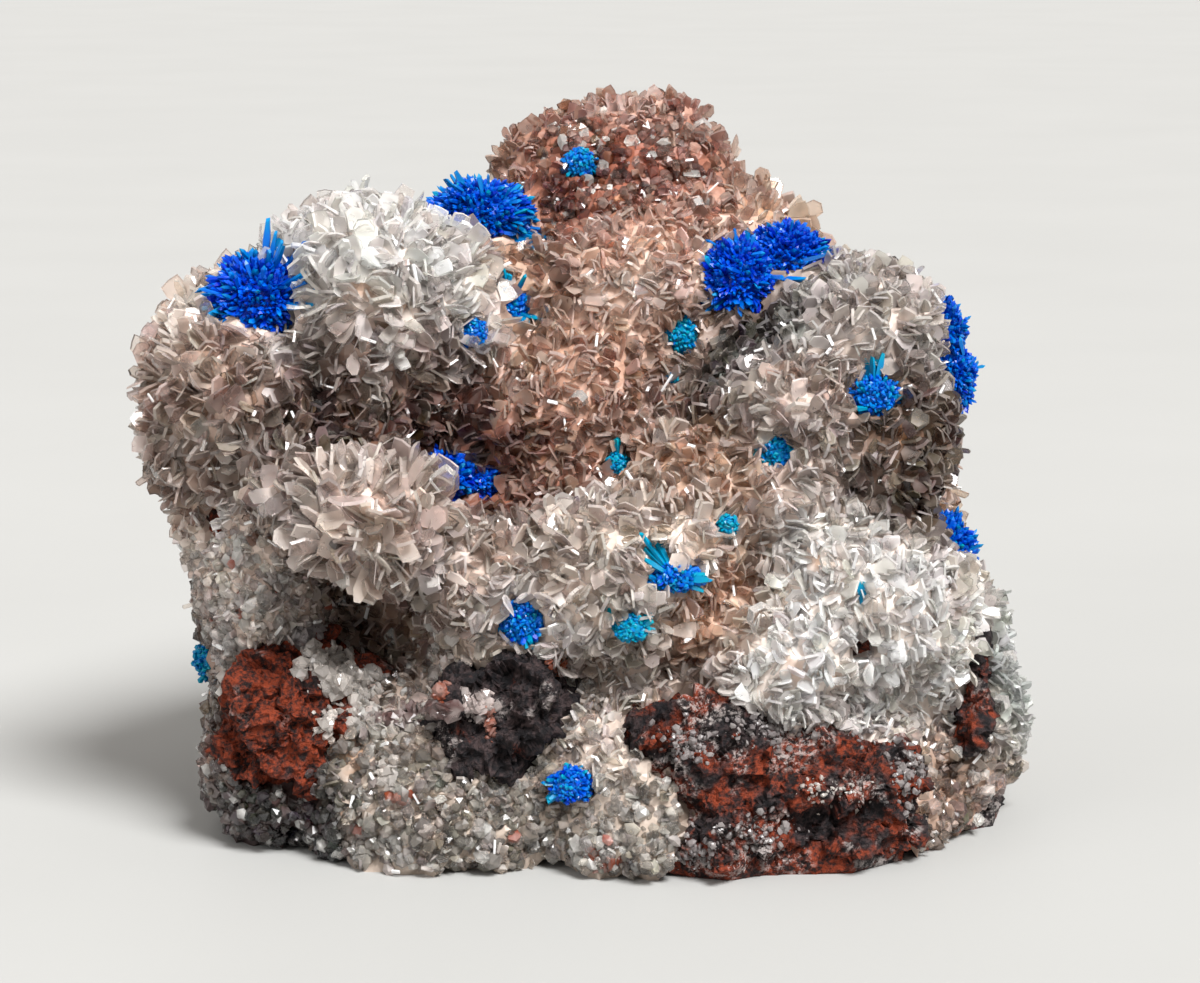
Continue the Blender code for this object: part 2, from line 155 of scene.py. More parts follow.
def shapeArrays(bm):  # a small bmesh as arrays, to copy many times
    bmesh.ops.recalc_face_normals(bm, faces=bm.faces)
    bm.verts.index_update()
    points = np.array([vert.co for vert in bm.verts])
    rings = []
    for face in bm.faces:  # each from its lowest corner, as operators start faces anywhere
        ring = [vert.index for vert in face.verts]
        first = ring.index(min(ring))
        rings.append(ring[first:] + ring[:first])
    rings.sort()
    bm.free()
    return points, np.concatenate(rings), np.array([len(ring) for ring in rings])


class Batch:  # many copies of small shapes, joined in one mesh
    def __init__(self):
        self.points = []
        self.loops = []
        self.sides = []
        self.tints = []
        self.reaches = []
        self.edges = []
        self.count = 0

    def add(self, shape, roots, axes, sizes, tints):  # axes are width, length and thickness directions
        points, loops, sides = shape
        placed = roots[:, None, :]
        for i in range(3):
            placed = placed + points[None, :, i, None] * (sizes[:, i, None] * axes[i])[:, None, :]
        copies = len(roots)
        starts = self.count + np.arange(copies)[:, None] * len(points)
        self.points.append(placed.reshape(-1, 3))
        self.loops.append((loops[None, :] + starts).ravel())
        self.sides.append(np.tile(sides, copies))
        self.edges.append(np.tile(sides == 4, copies))
        self.tints.append(np.repeat(tints, len(points), axis=0))
        self.reaches.append(np.tile(points[:, 1], copies))
        self.count += copies * len(points)

    def mesh(self, name):
        points = np.concatenate(self.points) * mm
        points[:, 2] = np.maximum(points[:, 2], 0.0)  # cut flat at the foot
        loops = np.concatenate(self.loops)
        sides = np.concatenate(self.sides)
        mesh = bpy.data.meshes.new(name)
        mesh.vertices.add(len(points))
        mesh.vertices.foreach_set("co", points.astype(np.float32).ravel())
        mesh.loops.add(len(loops))
        mesh.loops.foreach_set("vertex_index", loops.astype(np.int32))
        mesh.polygons.add(len(sides))
        mesh.polygons.foreach_set("loop_start", (np.cumsum(sides) - sides).astype(np.int32))
        mesh.update(calc_edges=True)
        setAttribute(mesh, "tint", "FLOAT_COLOR", np.concatenate(self.tints))
        setAttribute(mesh, "reach", "FLOAT", np.concatenate(self.reaches))
        setAttribute(mesh, "edge", "FLOAT", np.concatenate(self.edges), "FACE")
        return mesh


def setAttribute(mesh, name, kind, values, domain="POINT"):
    layer = mesh.attributes.new(name, kind, domain)
    key = "color" if kind == "FLOAT_COLOR" else "value"
    layer.data.foreach_set(key, np.asarray(values, np.float32).ravel())


# Shader maths

class Wire:  # a socket that can be used in plain arithmetic
    def __init__(self, paint, socket):
        self.paint = paint
        self.socket = socket

    def math(self, operation, first, second=0.0, clamp=False):
        settings = {"operation": operation, "use_clamp": clamp}
        return self.paint.node("ShaderNodeMath", settings, {0: first, 1: second})

    def __add__(self, other):
        return self.math("ADD", self, other)

    def __radd__(self, other):
        return self.math("ADD", other, self)

    def __sub__(self, other):
        return self.math("SUBTRACT", self, other)

    def __rsub__(self, other):
        return self.math("SUBTRACT", other, self)

    def __mul__(self, other):
        return self.math("MULTIPLY", self, other)

    def __rmul__(self, other):
        return self.math("MULTIPLY", other, self)

    def clamped(self):
        return self.math("ADD", self, 0.0, clamp=True)


class Paint:  # one material and its nodes
    def __init__(self, name, **constants):
        self.material = bpy.data.materials.new(name)
        self.material.use_nodes = True
        self.tree = self.material.node_tree
        self.shader = self.tree.nodes["Principled BSDF"]
        for socket, value in constants.items():
            self.shader.inputs[socket.replace("_", " ")].default_value = value

    def node(self, kind, settings, inputs, output=0):
        made = self.tree.nodes.new(kind)
        for key, value in settings.items():
            setattr(made, key, value)
        for key, value in inputs.items():
            self.feed(made.inputs[key], value)
        return Wire(self, made.outputs[output])

    def feed(self, socket, value):
        if isinstance(value, Wire):
            self.tree.links.new(value.socket, socket)
        elif isinstance(value, tuple) and len(value) == 3 and socket.type == "RGBA":
            socket.default_value = (*value, 1.0)
        else:
            socket.default_value = value

    def set(self, **inputs):
        for socket, value in inputs.items():
            self.feed(self.shader.inputs[socket.replace("_", " ")], value)

    def mixShader(self, share, **inputs):  # a second finish over the first
        second = self.tree.nodes.new("ShaderNodeBsdfPrincipled")
        for socket, value in inputs.items():
            self.feed(second.inputs[socket.replace("_", " ")], value)
        mixed = self.node("ShaderNodeMixShader", {}, {0: share, 1: Wire(self, self.shader.outputs[0]),
                                                      2: Wire(self, second.outputs[0])})
        self.feed(self.tree.nodes["Material Output"].inputs["Surface"], mixed)

    def place(self):
        return self.node("ShaderNodeTexCoord", {}, {}, "Object")

    def noise(self, size, detail, roughness=0.55):  # size is the pattern's, in millimetres
        inputs = {"Vector": self.place(), "Scale": 1 / (size * mm), "Detail": detail, "Roughness": roughness}
        return self.node("ShaderNodeTexNoise", {}, inputs)

    def cells(self, size):
        inputs = {"Vector": self.place(), "Scale": 1 / (size * mm)}
        return self.node("ShaderNodeTexVoronoi", {}, inputs)

    def step(self, value, low, high):  # 0 below low, 1 above high, smooth between
        settings = {"interpolation_type": "SMOOTHSTEP"}
        return self.node("ShaderNodeMapRange", settings, {"Value": value, "From Min": low, "From Max": high})

    def mix(self, share, first, second, blend="MIX"):
        settings = {"data_type": "RGBA", "blend_type": blend}
        return self.node("ShaderNodeMix", settings, {0: share, 6: first, 7: second}, 2)

    def attribute(self, name, output="Fac"):
        return self.node("ShaderNodeAttribute", {"attribute_name": name}, {}, output)

    def bump(self, height, strength, distance):
        inputs = {"Strength": strength, "Distance": distance * mm, "Height": height}
        return self.node("ShaderNodeBump", {}, inputs)


# The crust's zones: place (across, up, back), reach, how far blades stand out, their width,
# spacing of tufts, colour. Where zones overlap, their values blend. The colours hold painted shade:
# the hollows, the left band, under the knob, the right lobe and the foot's left are painted dark
# where shade falls, and the dome's low side and the valley are browner, partly their own colour and
# partly painted shade. The peak's top is paler, partly its own paler crystals and partly painted light.
crustZones = {
    "left dome": ((-13.5, 12.0, -5.0), 5.5, 1.2, 1.05, 1.35, (0.99, 0.95, 0.92)),
    "left lobe": ((-20.5, 5.5, -6.0), 5.0, 1.2, 1.00, 1.4, (0.72, 0.59, 0.52)),
    "left band": ((-14.5, 3.6, -7.5), 5.3, 1.0, 0.90, 1.4, (0.13, 0.04, 0.01)),
    "knob": ((-12.9, -0.8, -13.5), 4.0, 1.6, 1.20, 1.5, (0.92, 0.80, 0.73)),
    "peak": ((1.1, 16.5, 5.0), 5.0, 0.42, 0.45, 1.2, (0.37, 0.12, 0.07)),
    "peak, top": ((2.0, 21.5, 8.0), 2.5, 0.65, 0.80, 1.2, (0.76, 0.55, 0.47)),
    "shoulder": ((4.5, 11.5, 0.0), 5.0, 0.7, 0.80, 1.2, (0.88, 0.67, 0.57)),
    "ridge": ((-0.6, 5.0, -5.0), 4.0, 0.7, 0.70, 1.2, (0.66, 0.42, 0.32)),
    "crown": ((14.6, 9.5, -4.0), 4.5, 1.0, 0.90, 1.3, (0.78, 0.72, 0.68)),
    "arm": ((11.0, 5.0, -9.0), 4.0, 1.1, 0.90, 1.3, (0.76, 0.66, 0.61)),
    "right lobe": ((17.0, 3.0, -7.0), 4.5, 0.9, 0.85, 1.3, (0.20, 0.12, 0.08)),
    "arm tip": ((5.5, 0.5, -9.0), 3.5, 1.0, 0.85, 1.3, (0.62, 0.43, 0.32)),
    # painted shadow: the two hollows below the crown are painted near black
    "hollow": ((8.5, 8.0, -1.0), 4.8, 0.7, 0.70, 1.2, (0.01, 0.01, 0.01)),
    "hollow, front": ((9.6, 9.3, -4.0), 2.6, 0.8, 0.75, 1.2, (0.01, 0.01, 0.01)),
    "hollow, left": ((4.0, 4.6, -4.5), 2.6, 0.8, 0.80, 1.25, (0.20, 0.10, 0.07)),
    "left band, right": ((-9.2, 3.0, -7.0), 3.4, 0.9, 0.85, 1.3, (0.16, 0.05, 0.03)),
    "valley": ((-4.5, 1.0, -5.0), 4.5, 0.9, 0.80, 1.3, (0.33, 0.13, 0.08)),
    "mound": ((0.8, -4.5, -15.0), 5.0, 1.0, 0.85, 1.25, (0.86, 0.78, 0.72)),
    "mound, left": ((-6.5, -5.5, -13.0), 3.5, 1.0, 0.90, 1.3, (0.76, 0.66, 0.60)),
    "swell": ((13.5, -6.5, -13.0), 5.5, 0.8, 0.85, 1.2, (0.99, 0.95, 0.92)),
    "swell, low": ((17.5, -9.5, -8.0), 3.5, 0.6, 0.70, 1.15, (0.99, 0.95, 0.91)),
    "gully": ((6.5, -5.5, -11.0), 3.0, 0.8, 0.80, 1.3, (0.90, 0.64, 0.48)),
    "right edge": ((21.8, -12.0, -4.0), 3.5, 0.7, 0.70, 1.2, (0.64, 0.66, 0.64)),
    "left wall": ((-18.5, -5.0, -9.0), 4.5, 0.5, 0.45, 0.95, (0.94, 0.85, 0.79)),
    "left wall, low": ((-22.0, -12.0, -5.0), 5.0, 0.35, 0.40, 0.95, (0.40, 0.29, 0.24)),
    "foot, left": ((-18.0, -19.5, -9.0), 4.5, 0.3, 0.40, 1.0, (0.05, 0.03, 0.03)),
    "foot, middle": ((-6.0, -17.0, -15.0), 6.0, 0.4, 0.50, 1.0, (0.58, 0.52, 0.46)),
    "druse": ((-10.0, -10.0, -13.0), 3.5, 0.5, 0.50, 1.0, (0.84, 0.76, 0.70)),
    "foot, right": ((20.0, -17.0, -6.0), 4.0, 0.4, 0.50, 1.1, (0.55, 0.41, 0.33)),
    "skirt": ((-2.0, -12.0, -15.0), 4.0, 0.8, 0.75, 1.2, (0.99, 0.92, 0.86)),
    "dome, low": ((-12.5, 7.6, -8.0), 2.8, 1.1, 0.95, 1.35, (0.72, 0.54, 0.46)),
    "lobe, top": ((-22.3, 9.2, -5.0), 3.0, 1.2, 1.00, 1.4, (0.96, 0.86, 0.79)),
    "under the knob": ((-14.5, -5.5, -10.0), 2.8, 0.5, 0.50, 1.0, (0.20, 0.13, 0.10)),
    "back, left": ((-14.0, 5.0, 10.0), 7.0, 1.2, 1.10, 1.85, (0.90, 0.80, 0.70)),
    "back, right": ((13.0, 4.0, 9.0), 6.0, 1.0, 0.95, 1.8, (0.66, 0.50, 0.41)),
    "back, top": ((2.0, 13.0, 13.0), 6.0, 0.9, 0.90, 1.7, (0.62, 0.38, 0.28)),
    "back, middle": ((3.0, -3.0, 17.0), 5.0, 1.1, 1.05, 1.8, (0.94, 0.86, 0.78)),
    "back, foot": ((-12.0, -17.0, 10.0), 7.0, 0.42, 0.50, 1.25, (0.60, 0.50, 0.42)),
    "back": ((0.0, 2.0, 12.0), 14.0, 1.05, 1.0, 1.9, (0.74, 0.58, 0.47)),
    "back, low": ((0.0, -14.0, 12.0), 8.0, 0.5, 0.70, 1.8, (0.62, 0.48, 0.38)),
}
zoneFade = 2.0  # how fast a zone gives way to its neighbours
zoneRest = 1e-5  # the weight that a zone keeps far away


def zoneValues(points):  # blade length, width, spacing and colour, painted shade included, at each point, blended from the zones
    places = np.array([fromLook(*zone[0]) for zone in crustZones.values()])
    reaches = np.array([zone[1] for zone in crustZones.values()])
    values = np.array([(*zone[2:5], *zone[5]) for zone in crustZones.values()])
    far = np.linalg.norm(points[:, None, :] - places[None, :, :], axis=2) / reaches
    weights = np.exp(-zoneFade * far * far) + zoneRest / (1 + far)
    return weights @ values / weights.sum(axis=1, keepdims=True)


goldenTurn = 2.39996  # radians, spreads points evenly along a spiral
sky = {  # rays that test how open a place is
    "jitter": 0.3,
    "start": 0.3,
    "reach": 9.0,
}


def openShares(tree, points, normals, rays):  # how much of the sky above each point is open, which sets the painted shade in hollows
    chance = random.Random(3)
    fan = []
    for i in range(rays):
        high = math.sqrt((i + 0.5) / rays)
        turn = i * goldenTurn + chance.uniform(-sky["jitter"], sky["jitter"])
        flat = math.sqrt(1 - high * high)
        fan.append(Vector((flat * math.cos(turn), flat * math.sin(turn), high)))
    shares = []
    for point, normal in zip(points, normals):
        start = Vector(point) + Vector(normal) * sky["start"]
        turned = Vector(normal).to_track_quat("Z", "Y")
        hits = sum(tree.ray_cast(start, turned @ ray, sky["reach"])[0] is not None for ray in fan)
        shares.append(1 - hits / rays)
    return np.array(shares)


tiltSpread = 7.31  # neighbouring facets read the noise this many times as far apart
tiltApart = 40.0  # and each part of a tilt reads it this far from the others


def facetHeight(point, size, slope):  # broken rock: flat faces that tilt each their own way
    middle = noise.voronoi(point / size)[1][0]
    starts = [middle * tiltSpread + way * tiltApart for way in (lookRight, lookUp, lookOut)]
    tilt = Vector([noise.noise(start) for start in starts]).normalized()
    return (point / size - middle).dot(tilt) * slope * size


# The crust's body, under the blades
body = {
    "voxel": 0.6,
    "finer": 0.9,  # the last remesh's voxel, against the first
    "closing": 0.6,  # fills the gaps round the basalt and the rosettes
    "smooth": 4,
    "sunk": 0.15,
    "under": 0.9,  # how much deeper it lies under basalt and rosettes
    "near": 0.15,  # what counts as under a rosette
    "nearRock": 0.35,  # and under basalt
    "bumps": [(1.1, 0.22), (0.5, 0.10)],
    "facets": [(2.2, 0.30), (1.2, 0.35)],  # size and slope, where the crust is granular
    "foot": 0.35,  # faces that look down below this height are pressed flat
    "downward": -0.5,  # what looks down, by the height of its normal
    "rays": 12,
    "open": (0.2, 0.45),  # painted shade: how light the tint is in a closed hollow, and what open sky adds
    "shadeWarmth": (0.95, 1.12, 1.22),  # painted shade: hollows darken more in green and blue than in red
}


def crustBody():
    bm = remeshed(nodeBmesh(list(nodes)), body["voxel"])
    offset(bm, body["closing"])
    bm = remeshed(bm, body["voxel"])
    offset(bm, -body["closing"])
    smoothed(bm, body["smooth"])
    offset(bm, -body["sunk"])
    bm = remeshed(bm, body["voxel"] * body["finer"])
    bm.normal_update()
    rough = grainShare(zoneValues(np.array([vert.co for vert in bm.verts])))
    for vert, share in zip(bm.verts, rough):
        rockNear = outsideBy(rockTree, vert.co) < body["nearRock"]
        deep = body["under"] if rockNear or outsideBy(rosetteTree, vert.co) < body["near"] else 0.0
        height = sum(noise.noise(vert.co / size) * high for size, high in body["bumps"])
        height += sum(facetHeight(vert.co, size, slope) for size, slope in body["facets"]) * share
        vert.co += vert.normal * (height - deep)
    for vert in bm.verts:
        low = vert.co.z < body["foot"]
        vert.co.z = 0.0 if low and vert.normal.z < body["downward"] else max(vert.co.z, 0.0)
    return bm


# Blades: flat crystals with a rounded or pointed end
blades = {
    "samples": 110000,  # places that are tried for tufts
    "rays": 20,
    "corners": (6, 7, 7),
    "shapesEach": 2,
    "taper": 0.5,  # how much broader a blade is near its tip
    "bevel": (0.84, 0.93, 1.0),  # its front face, against its back face
    "perTuft": 5,
    "closeness": 0.56,  # a tuft's distance to the next, against its zone's spacing
    "thickness": 0.11,
    "showing": 1.05,  # how far blades stand out, against their zone's length
    "broad": 1.15,
    "root": 0.5,  # how far a blade starts under the body's surface
    "fan": 60,  # degrees from a tuft's middle blade to its outermost ones
    "tuftLean": 34,
    "unruly": 16,
    "uneven": (-0.12, 0.12),  # how far a blade strays from its even place in the fan
    "sideways": 0.12,
    "lengths": (0.5, 1.2),
    "breadths": (0.55, 1.3),
    "thicknesses": (0.5, 1.7),
    "middleLength": 1.08,
    "outerShorter": 0.15,
    "rootSpread": 0.45,  # of the spacing, along the fan and across it
    "rootShift": (-0.3, 0.3),
    "tuftShade": (0.86, 1.1),
    "floor": 0.12,
    "offGround": 0.15,  # of a blade's width
    "offRock": 0.12,
    "offRosette": 0.05,
    "hiding": 4.5,  # how near a rosette, along the view, a blade's end hides it
    "hidingAside": 1.3,  # and near the left and right sides
    "aside": 16.0,
    "shortened": (0.6, 0.62, 0.8),  # width, length and thickness of blades that hide a rosette
}
glints = {  # painted glints: white rods on the tufts, standing in for light reflected off blade edges
    "share": 0.05,
    "rise": (-0.1, 0.6),
    "length": (0.4, 1.2),
    "height": (0.5, 0.85),  # of the blades' length
    "width": (0.08, 0.18),
    "thickness": (0.08, 0.15),
    # painted highlight: the glints' pure white
    "tint": (1.0, 1.0, 1.0, 0.0),
}
tints = {
    "hollow": (0.46, 0.29, 0.21),  # painted shade: what a closed hollow leaves of a blade's colour
    "openSky": 1.15,
    "patches": 2.6,  # size of the lighter and browner patches
    "patchy": 0.9,
    "shade": (0.9, 1.08),
    "grain": 0.012,
    "clear": (0.45, 1.0),
    "milkyFrom": 1.75,  # less the mean of the colour: pale blades are a little milkier
    "milkiest": 0.8,
    "range": (0.02, 0.98),
}


def plateShape(corners, chance):  # 1 wide, 1 long from its root, 1 thick, broadest near its tip
    bm = bmesh.new()
    bmesh.ops.create_circle(bm, cap_ends=True, radius=1.0, segments=corners)
    if corners % 2 == 0:
        bmesh.ops.rotate(bm, matrix=Matrix.Rotation(math.pi / corners, 3, "Z"), verts=bm.verts)
    highest = max(vert.co.y for vert in bm.verts)
    for vert in bm.verts:
        y = vert.co.y / highest
        y = 0.5 + 0.5 * (y + blades["taper"] * (1 - y * y)) * chance.uniform(0.94, 1.05)
        vert.co = Vector((0.5 * vert.co.x * chance.uniform(0.85, 1.1), max(0.0, y), 0.0))
    bmesh.ops.solidify(bm, geom=bm.faces, thickness=1.0)
    highest = max(vert.co.z for vert in bm.verts)
    top = [vert for vert in bm.verts if vert.co.z > highest - 0.5]
    middle = Matrix.Translation((0, -0.5, 0))
    bmesh.ops.scale(bm, vec=Vector(blades["bevel"]), space=middle, verts=top)
    bmesh.ops.translate(bm, vec=Vector((0, 0, 0.5 - highest)), verts=bm.verts)
    return shapeArrays(bm)


def surfaceSamples(bm, count, seed):  # points and normals spread evenly over the surface
    triangles = bm.calc_loop_triangles()
    corners = np.array([[loop.vert.co for loop in tri] for tri in triangles])
    normals = np.array([[loop.vert.normal for loop in tri] for tri in triangles])
    areas = np.linalg.norm(np.cross(corners[:, 1] - corners[:, 0], corners[:, 2] - corners[:, 0]), axis=1) / 2
    draws = np.random.default_rng(seed)
    picked = draws.choice(len(areas), size=count, p=areas / areas.sum())
    shares = draws.dirichlet((1, 1, 1), size=count)[:, :, None]
    return (corners[picked] * shares).sum(axis=1), unit((normals[picked] * shares).sum(axis=1))


def thinnedOut(points, spacings):  # indices of points that keep their spacing from each other
    tree = KDTree(len(points))
    for i, point in enumerate(points):
        tree.insert(point, i)
    tree.balance()
    taken = np.zeros(len(points), bool)
    kept = []
    for i, point in enumerate(points):
        if not taken[i]:
            kept.append(i)
            for _, j, _ in tree.find_range(point, float(spacings[i])):
                taken[j] = True
    return np.array(kept)


def tuftPlaces(bm, tree):
    points, normals = surfaceSamples(bm, blades["samples"], 11)
    values = zoneValues(points)
    kept = thinnedOut(points, values[:, 2] * blades["closeness"])
    kept = [i for i in kept if points[i][2] > blades["floor"] and clearOfOthers(Vector(points[i]))]
    opens = openShares(tree, points[kept], normals[kept], blades["rays"])
    return points[kept], normals[kept], values[kept], opens


def clearOfOthers(point):
    if outsideBy(rockTree, point) <= blades["offRock"]:
        return False
    return outsideBy(rosetteTree, point) > blades["offRosette"]


def hidesRosette(points, reaches):  # which points are in front of a rosette, as the look sees it
    hits = [rosetteTree.ray_cast(Vector(point), -lookOut, reach)[0] for point, reach in zip(points, reaches)]
    return np.array([hit is not None for hit in hits])


def tuftBlades(points, normals, values, opens):  # every blade's root, axes, sizes and tint
    draws = np.random.default_rng(21)
    per = blades["perTuft"]
    tufts = np.repeat(np.arange(len(points)), per)
    total = len(tufts)

    def spread(low, high):
        return draws.uniform(low, high, (total, 1))

    def stray(deviation):
        return draws.normal(0, deviation, (total, 1))

    tilt = draws.normal(0, 1, normals.shape) * math.tan(math.radians(blades["tuftLean"]))
    axis = unit(normals + tilt)
    stackWay = unit(np.cross(axis, unit(draws.normal(size=normals.shape))))[tufts]
    axis = axis[tufts]
    spacing = values[tufts, 2:3]
    step = np.tile(np.linspace(-1, 1, per), len(points))[:, None] + spread(*blades["uneven"])
    fan = np.radians(blades["fan"]) * step + np.radians(stray(blades["unruly"]))
    broadWay = np.cross(axis, stackWay)
    along = unit(axis * np.cos(fan) + stackWay * np.sin(fan) + broadWay * stray(blades["sideways"]))
    flat = unit(stackWay - along * (stackWay * along).sum(axis=1, keepdims=True))
    width = np.cross(along, flat)
    turned = np.radians(stray(blades["unruly"]))
    cosine, sine = np.cos(turned), np.sin(turned)
    axes = (width * cosine + flat * sine, along, flat * cosine - width * sine)
    fullLength = blades["middleLength"] - blades["outerShorter"] * step * step
    length = blades["showing"] * values[tufts, 0:1] * spread(*blades["lengths"]) * fullLength
    broad = blades["broad"] * values[tufts, 1:2] * spread(*blades["breadths"])
    thick = blades["thickness"] * spread(*blades["thicknesses"])
    root = points[tufts] + stackWay * step * spacing * blades["rootSpread"]
    root = root + broadWay * spread(*blades["rootShift"]) * spacing
    root = root - along * blades["root"]
    shades = draws.uniform(*blades["tuftShade"], (len(points), 1))[tufts]
    tint = bladeTints(root, values[tufts, 3:6] * shades, opens[tufts], draws)
    return root, axes, np.hstack([broad, length + blades["root"], thick]), tint


def bladeTints(points, colours, opens, draws):  # colour with painted shade in closed hollows, and in its fourth place how clear the blade is
    low, high = tints["range"]
    # painted shade: the less sky is open above a blade, the nearer its colour comes to the hollow tint
    dark = 1 - np.clip(opens[:, None] * tints["openSky"], 0, 1)
    tint = np.clip(colours, low, 1) * (1 - dark * (1 - np.array(tints["hollow"])))
    patch = np.array([noise.noise(Vector(point) / tints["patches"]) for point in points])[:, None]
    tint = tint ** (1 - tints["patchy"] * patch) * draws.uniform(*tints["shade"], (len(tint), 1))
    tint = tint + draws.normal(0, tints["grain"], tint.shape)
    milky = np.clip(tints["milkyFrom"] - tint.mean(axis=1, keepdims=True), tints["milkiest"], 1.0)
    clear = draws.uniform(*tints["clear"], (len(tint), 1)) * milky
    return np.hstack([np.clip(tint, low, high), clear])


def standing(root, tips, widths):  # which crystals hide no rosette and are clear of rock and ground
    reaches = np.where(np.abs(root[:, 0]) < blades["aside"], blades["hiding"], blades["hidingAside"])
    fine = ~hidesRosette(tips, reaches)
    fine &= np.minimum(tips[:, 2], root[:, 2] + blades["root"]) > blades["floor"]
    fine &= np.minimum(tips[:, 2], root[:, 2]) > blades["offGround"] * widths
    ends = zip(tips, (tips + root) / 2)
    clear = [clearOfOthers(Vector(tip)) and clearOfOthers(Vector(middle)) for tip, middle in ends]
    return fine & np.array(clear)


def rodShape():  # 1 wide, 1 long from its root, 1 thick
    bm = bmesh.new()
    bmesh.ops.create_cube(bm, size=1.0)
    bmesh.ops.translate(bm, vec=Vector((0, 0.5, 0)), verts=bm.verts)
    return shapeArrays(bm)


grains = {  # where the crust is granular: short chunky crystals, set half in the body
    "perTuft": 5,
    "size": (0.35, 1.05),
    "shape": (0.6, 1.15),
    "below": 0.62,  # zones with blades shorter than this have them
    "fade": 0.15,
    "instead": 0.85,  # how many blades they take the place of there
    "lean": 0.5,
    "aside": 0.35,
    "sunk": (0.35, 0.7),
    "shade": (0.6, 1.2),
    "white": (0.12, (0.92, 0.90, 0.86)),  # share and colour
    "red": (0.012, (0.30, 0.05, 0.02, 0.0)),
}


def grainShare(values):
    return np.clip((grains["below"] - values[:, 0]) / grains["fade"], 0, 1)


def grainShape(chance):  # a rough crystal, 1 wide, 1 long from its root, 1 thick
    bm = bmesh.new()
    bmesh.ops.create_icosphere(bm, subdivisions=1, radius=0.5)
    for vert in bm.verts:
        vert.co *= chance.uniform(0.75, 1.2)
    bmesh.ops.translate(bm, vec=Vector((0, 0.5, 0)), verts=bm.verts)
    return shapeArrays(bm)


def scatteredGrains(points, normals, values, opens):
    draws = np.random.default_rng(44)
    tufts = np.repeat(np.arange(len(points)), grains["perTuft"])
    tufts = tufts[draws.random(len(tufts)) < grainShare(values)[tufts]]
    total = len(tufts)
    along = unit(normals[tufts] + draws.normal(0, grains["lean"], (total, 3)))
    axes = axesAlong(along, draws)
    sizes = draws.uniform(*grains["size"], (total, 1)) * draws.uniform(*grains["shape"], (total, 3))
    aside = np.cross(normals[tufts], draws.normal(0, grains["aside"], (total, 3))) * values[tufts, 2:3]
    root = points[tufts] + aside - along * sizes[:, 1:2] * draws.uniform(*grains["sunk"], (total, 1))
    shades = draws.uniform(*grains["shade"], (total, 1))
    tint = bladeTints(root, values[tufts, 3:6] * shades, opens[tufts], draws)
    share, colour = grains["white"]
    tint[draws.random(total) < share, :3] = colour
    share, colour = grains["red"]
    tint[draws.random(total) < share] = colour
    return root, axes, sizes, tint


def glintRods(points, normals, values):  # painted glints: white rods lying on the tufts, for light reflected off blade edges
    draws = np.random.default_rng(33)
    chosen = draws.random(len(points)) < glints["share"]
    points, normals, values = points[chosen], normals[chosen], values[chosen]
    total = len(points)
    sideways = np.cross(normals, draws.normal(size=normals.shape))
    along = unit(sideways + normals * draws.uniform(*glints["rise"], (total, 1)))
    width = unit(np.cross(along, normals))
    length = draws.uniform(*glints["length"], total)
    high = blades["showing"] * values[:, 0] * draws.uniform(*glints["height"], total)
    root = points + normals * high[:, None] - along * length[:, None] / 2
    wide = draws.uniform(*glints["width"], total)
    thick = draws.uniform(*glints["thickness"], total)
    sizes = np.stack([wide, length, thick], 1)
    return root, (width, along, np.cross(width, along)), sizes, np.tile(glints["tint"], (total, 1))


crustParts = {  # where the crust's crystals are parted into pieces
    "behind": 5.0,
    "low": 17.0,
    "middle": -6.0,
}


def bladePieces(bm, tree, material):
    points, normals, values, opens = tuftPlaces(bm, tree)
    chance = random.Random(9)
    shapes = [plateShape(count, chance) for count in blades["corners"] for _ in range(blades["shapesEach"])]
    root, axes, sizes, tint = tuftBlades(points, normals, values, opens)
    picks = np.random.default_rng(5).integers(0, len(shapes), len(root))
    bladed = np.repeat(1 - grains["instead"] * grainShare(values), blades["perTuft"])
    stays = np.random.default_rng(6).random(len(root)) < bladed
    root, sizes, tint, picks = root[stays], sizes[stays], tint[stays], picks[stays]
    axes = [axis[stays] for axis in axes]
    for shape, more in ((rodShape(), glintRods(points, normals, values)),
                        (grainShape(chance), scatteredGrains(points, normals, values, opens))):
        root = np.vstack([root, more[0]])
        axes = [np.vstack(pair) for pair in zip(axes, more[1])]
        sizes = np.vstack([sizes, more[2]])
        tint = np.vstack([tint, more[3]])
        picks = np.concatenate([picks, np.full(len(more[0]), len(shapes))])
        shapes.append(shape)
    tips = root + axes[1] * sizes[:, 1:2]
    sizes[hidesRosette(tips, np.full(len(tips), blades["hiding"]))] *= blades["shortened"]
    tips = root + axes[1] * sizes[:, 1:2]
    fine = standing(root, tips, sizes[:, 0])
    behind = root[:, 1] > crustParts["behind"]
    low = root[:, 2] < crustParts["low"]
    right = root[:, 0] >= 0.0
    topRight = root[:, 0] >= crustParts["middle"]
    regions = {
        "stilbite_blades_left": ~behind & ~low & ~topRight,
        "stilbite_blades_right": ~behind & ~low & topRight,
        "stilbite_blades_foot_left": ~behind & low & ~right,
        "stilbite_blades_foot_right": ~behind & low & right,
        "stilbite_blades_back_left": behind & ~right,
        "stilbite_blades_back_right": behind & right,
    }
    for name, inside in regions.items():
        batch = Batch()
        for k, shape in enumerate(shapes):
            chosen = fine & inside & (picks == k)
            batch.add(shape, root[chosen], [axis[chosen] for axis in axes], sizes[chosen], tint[chosen])
        finishPiece(name, batch.mesh(name), material, ["stilbite_crust"])
        print(name, "done,", triangleCount(name), "triangles")


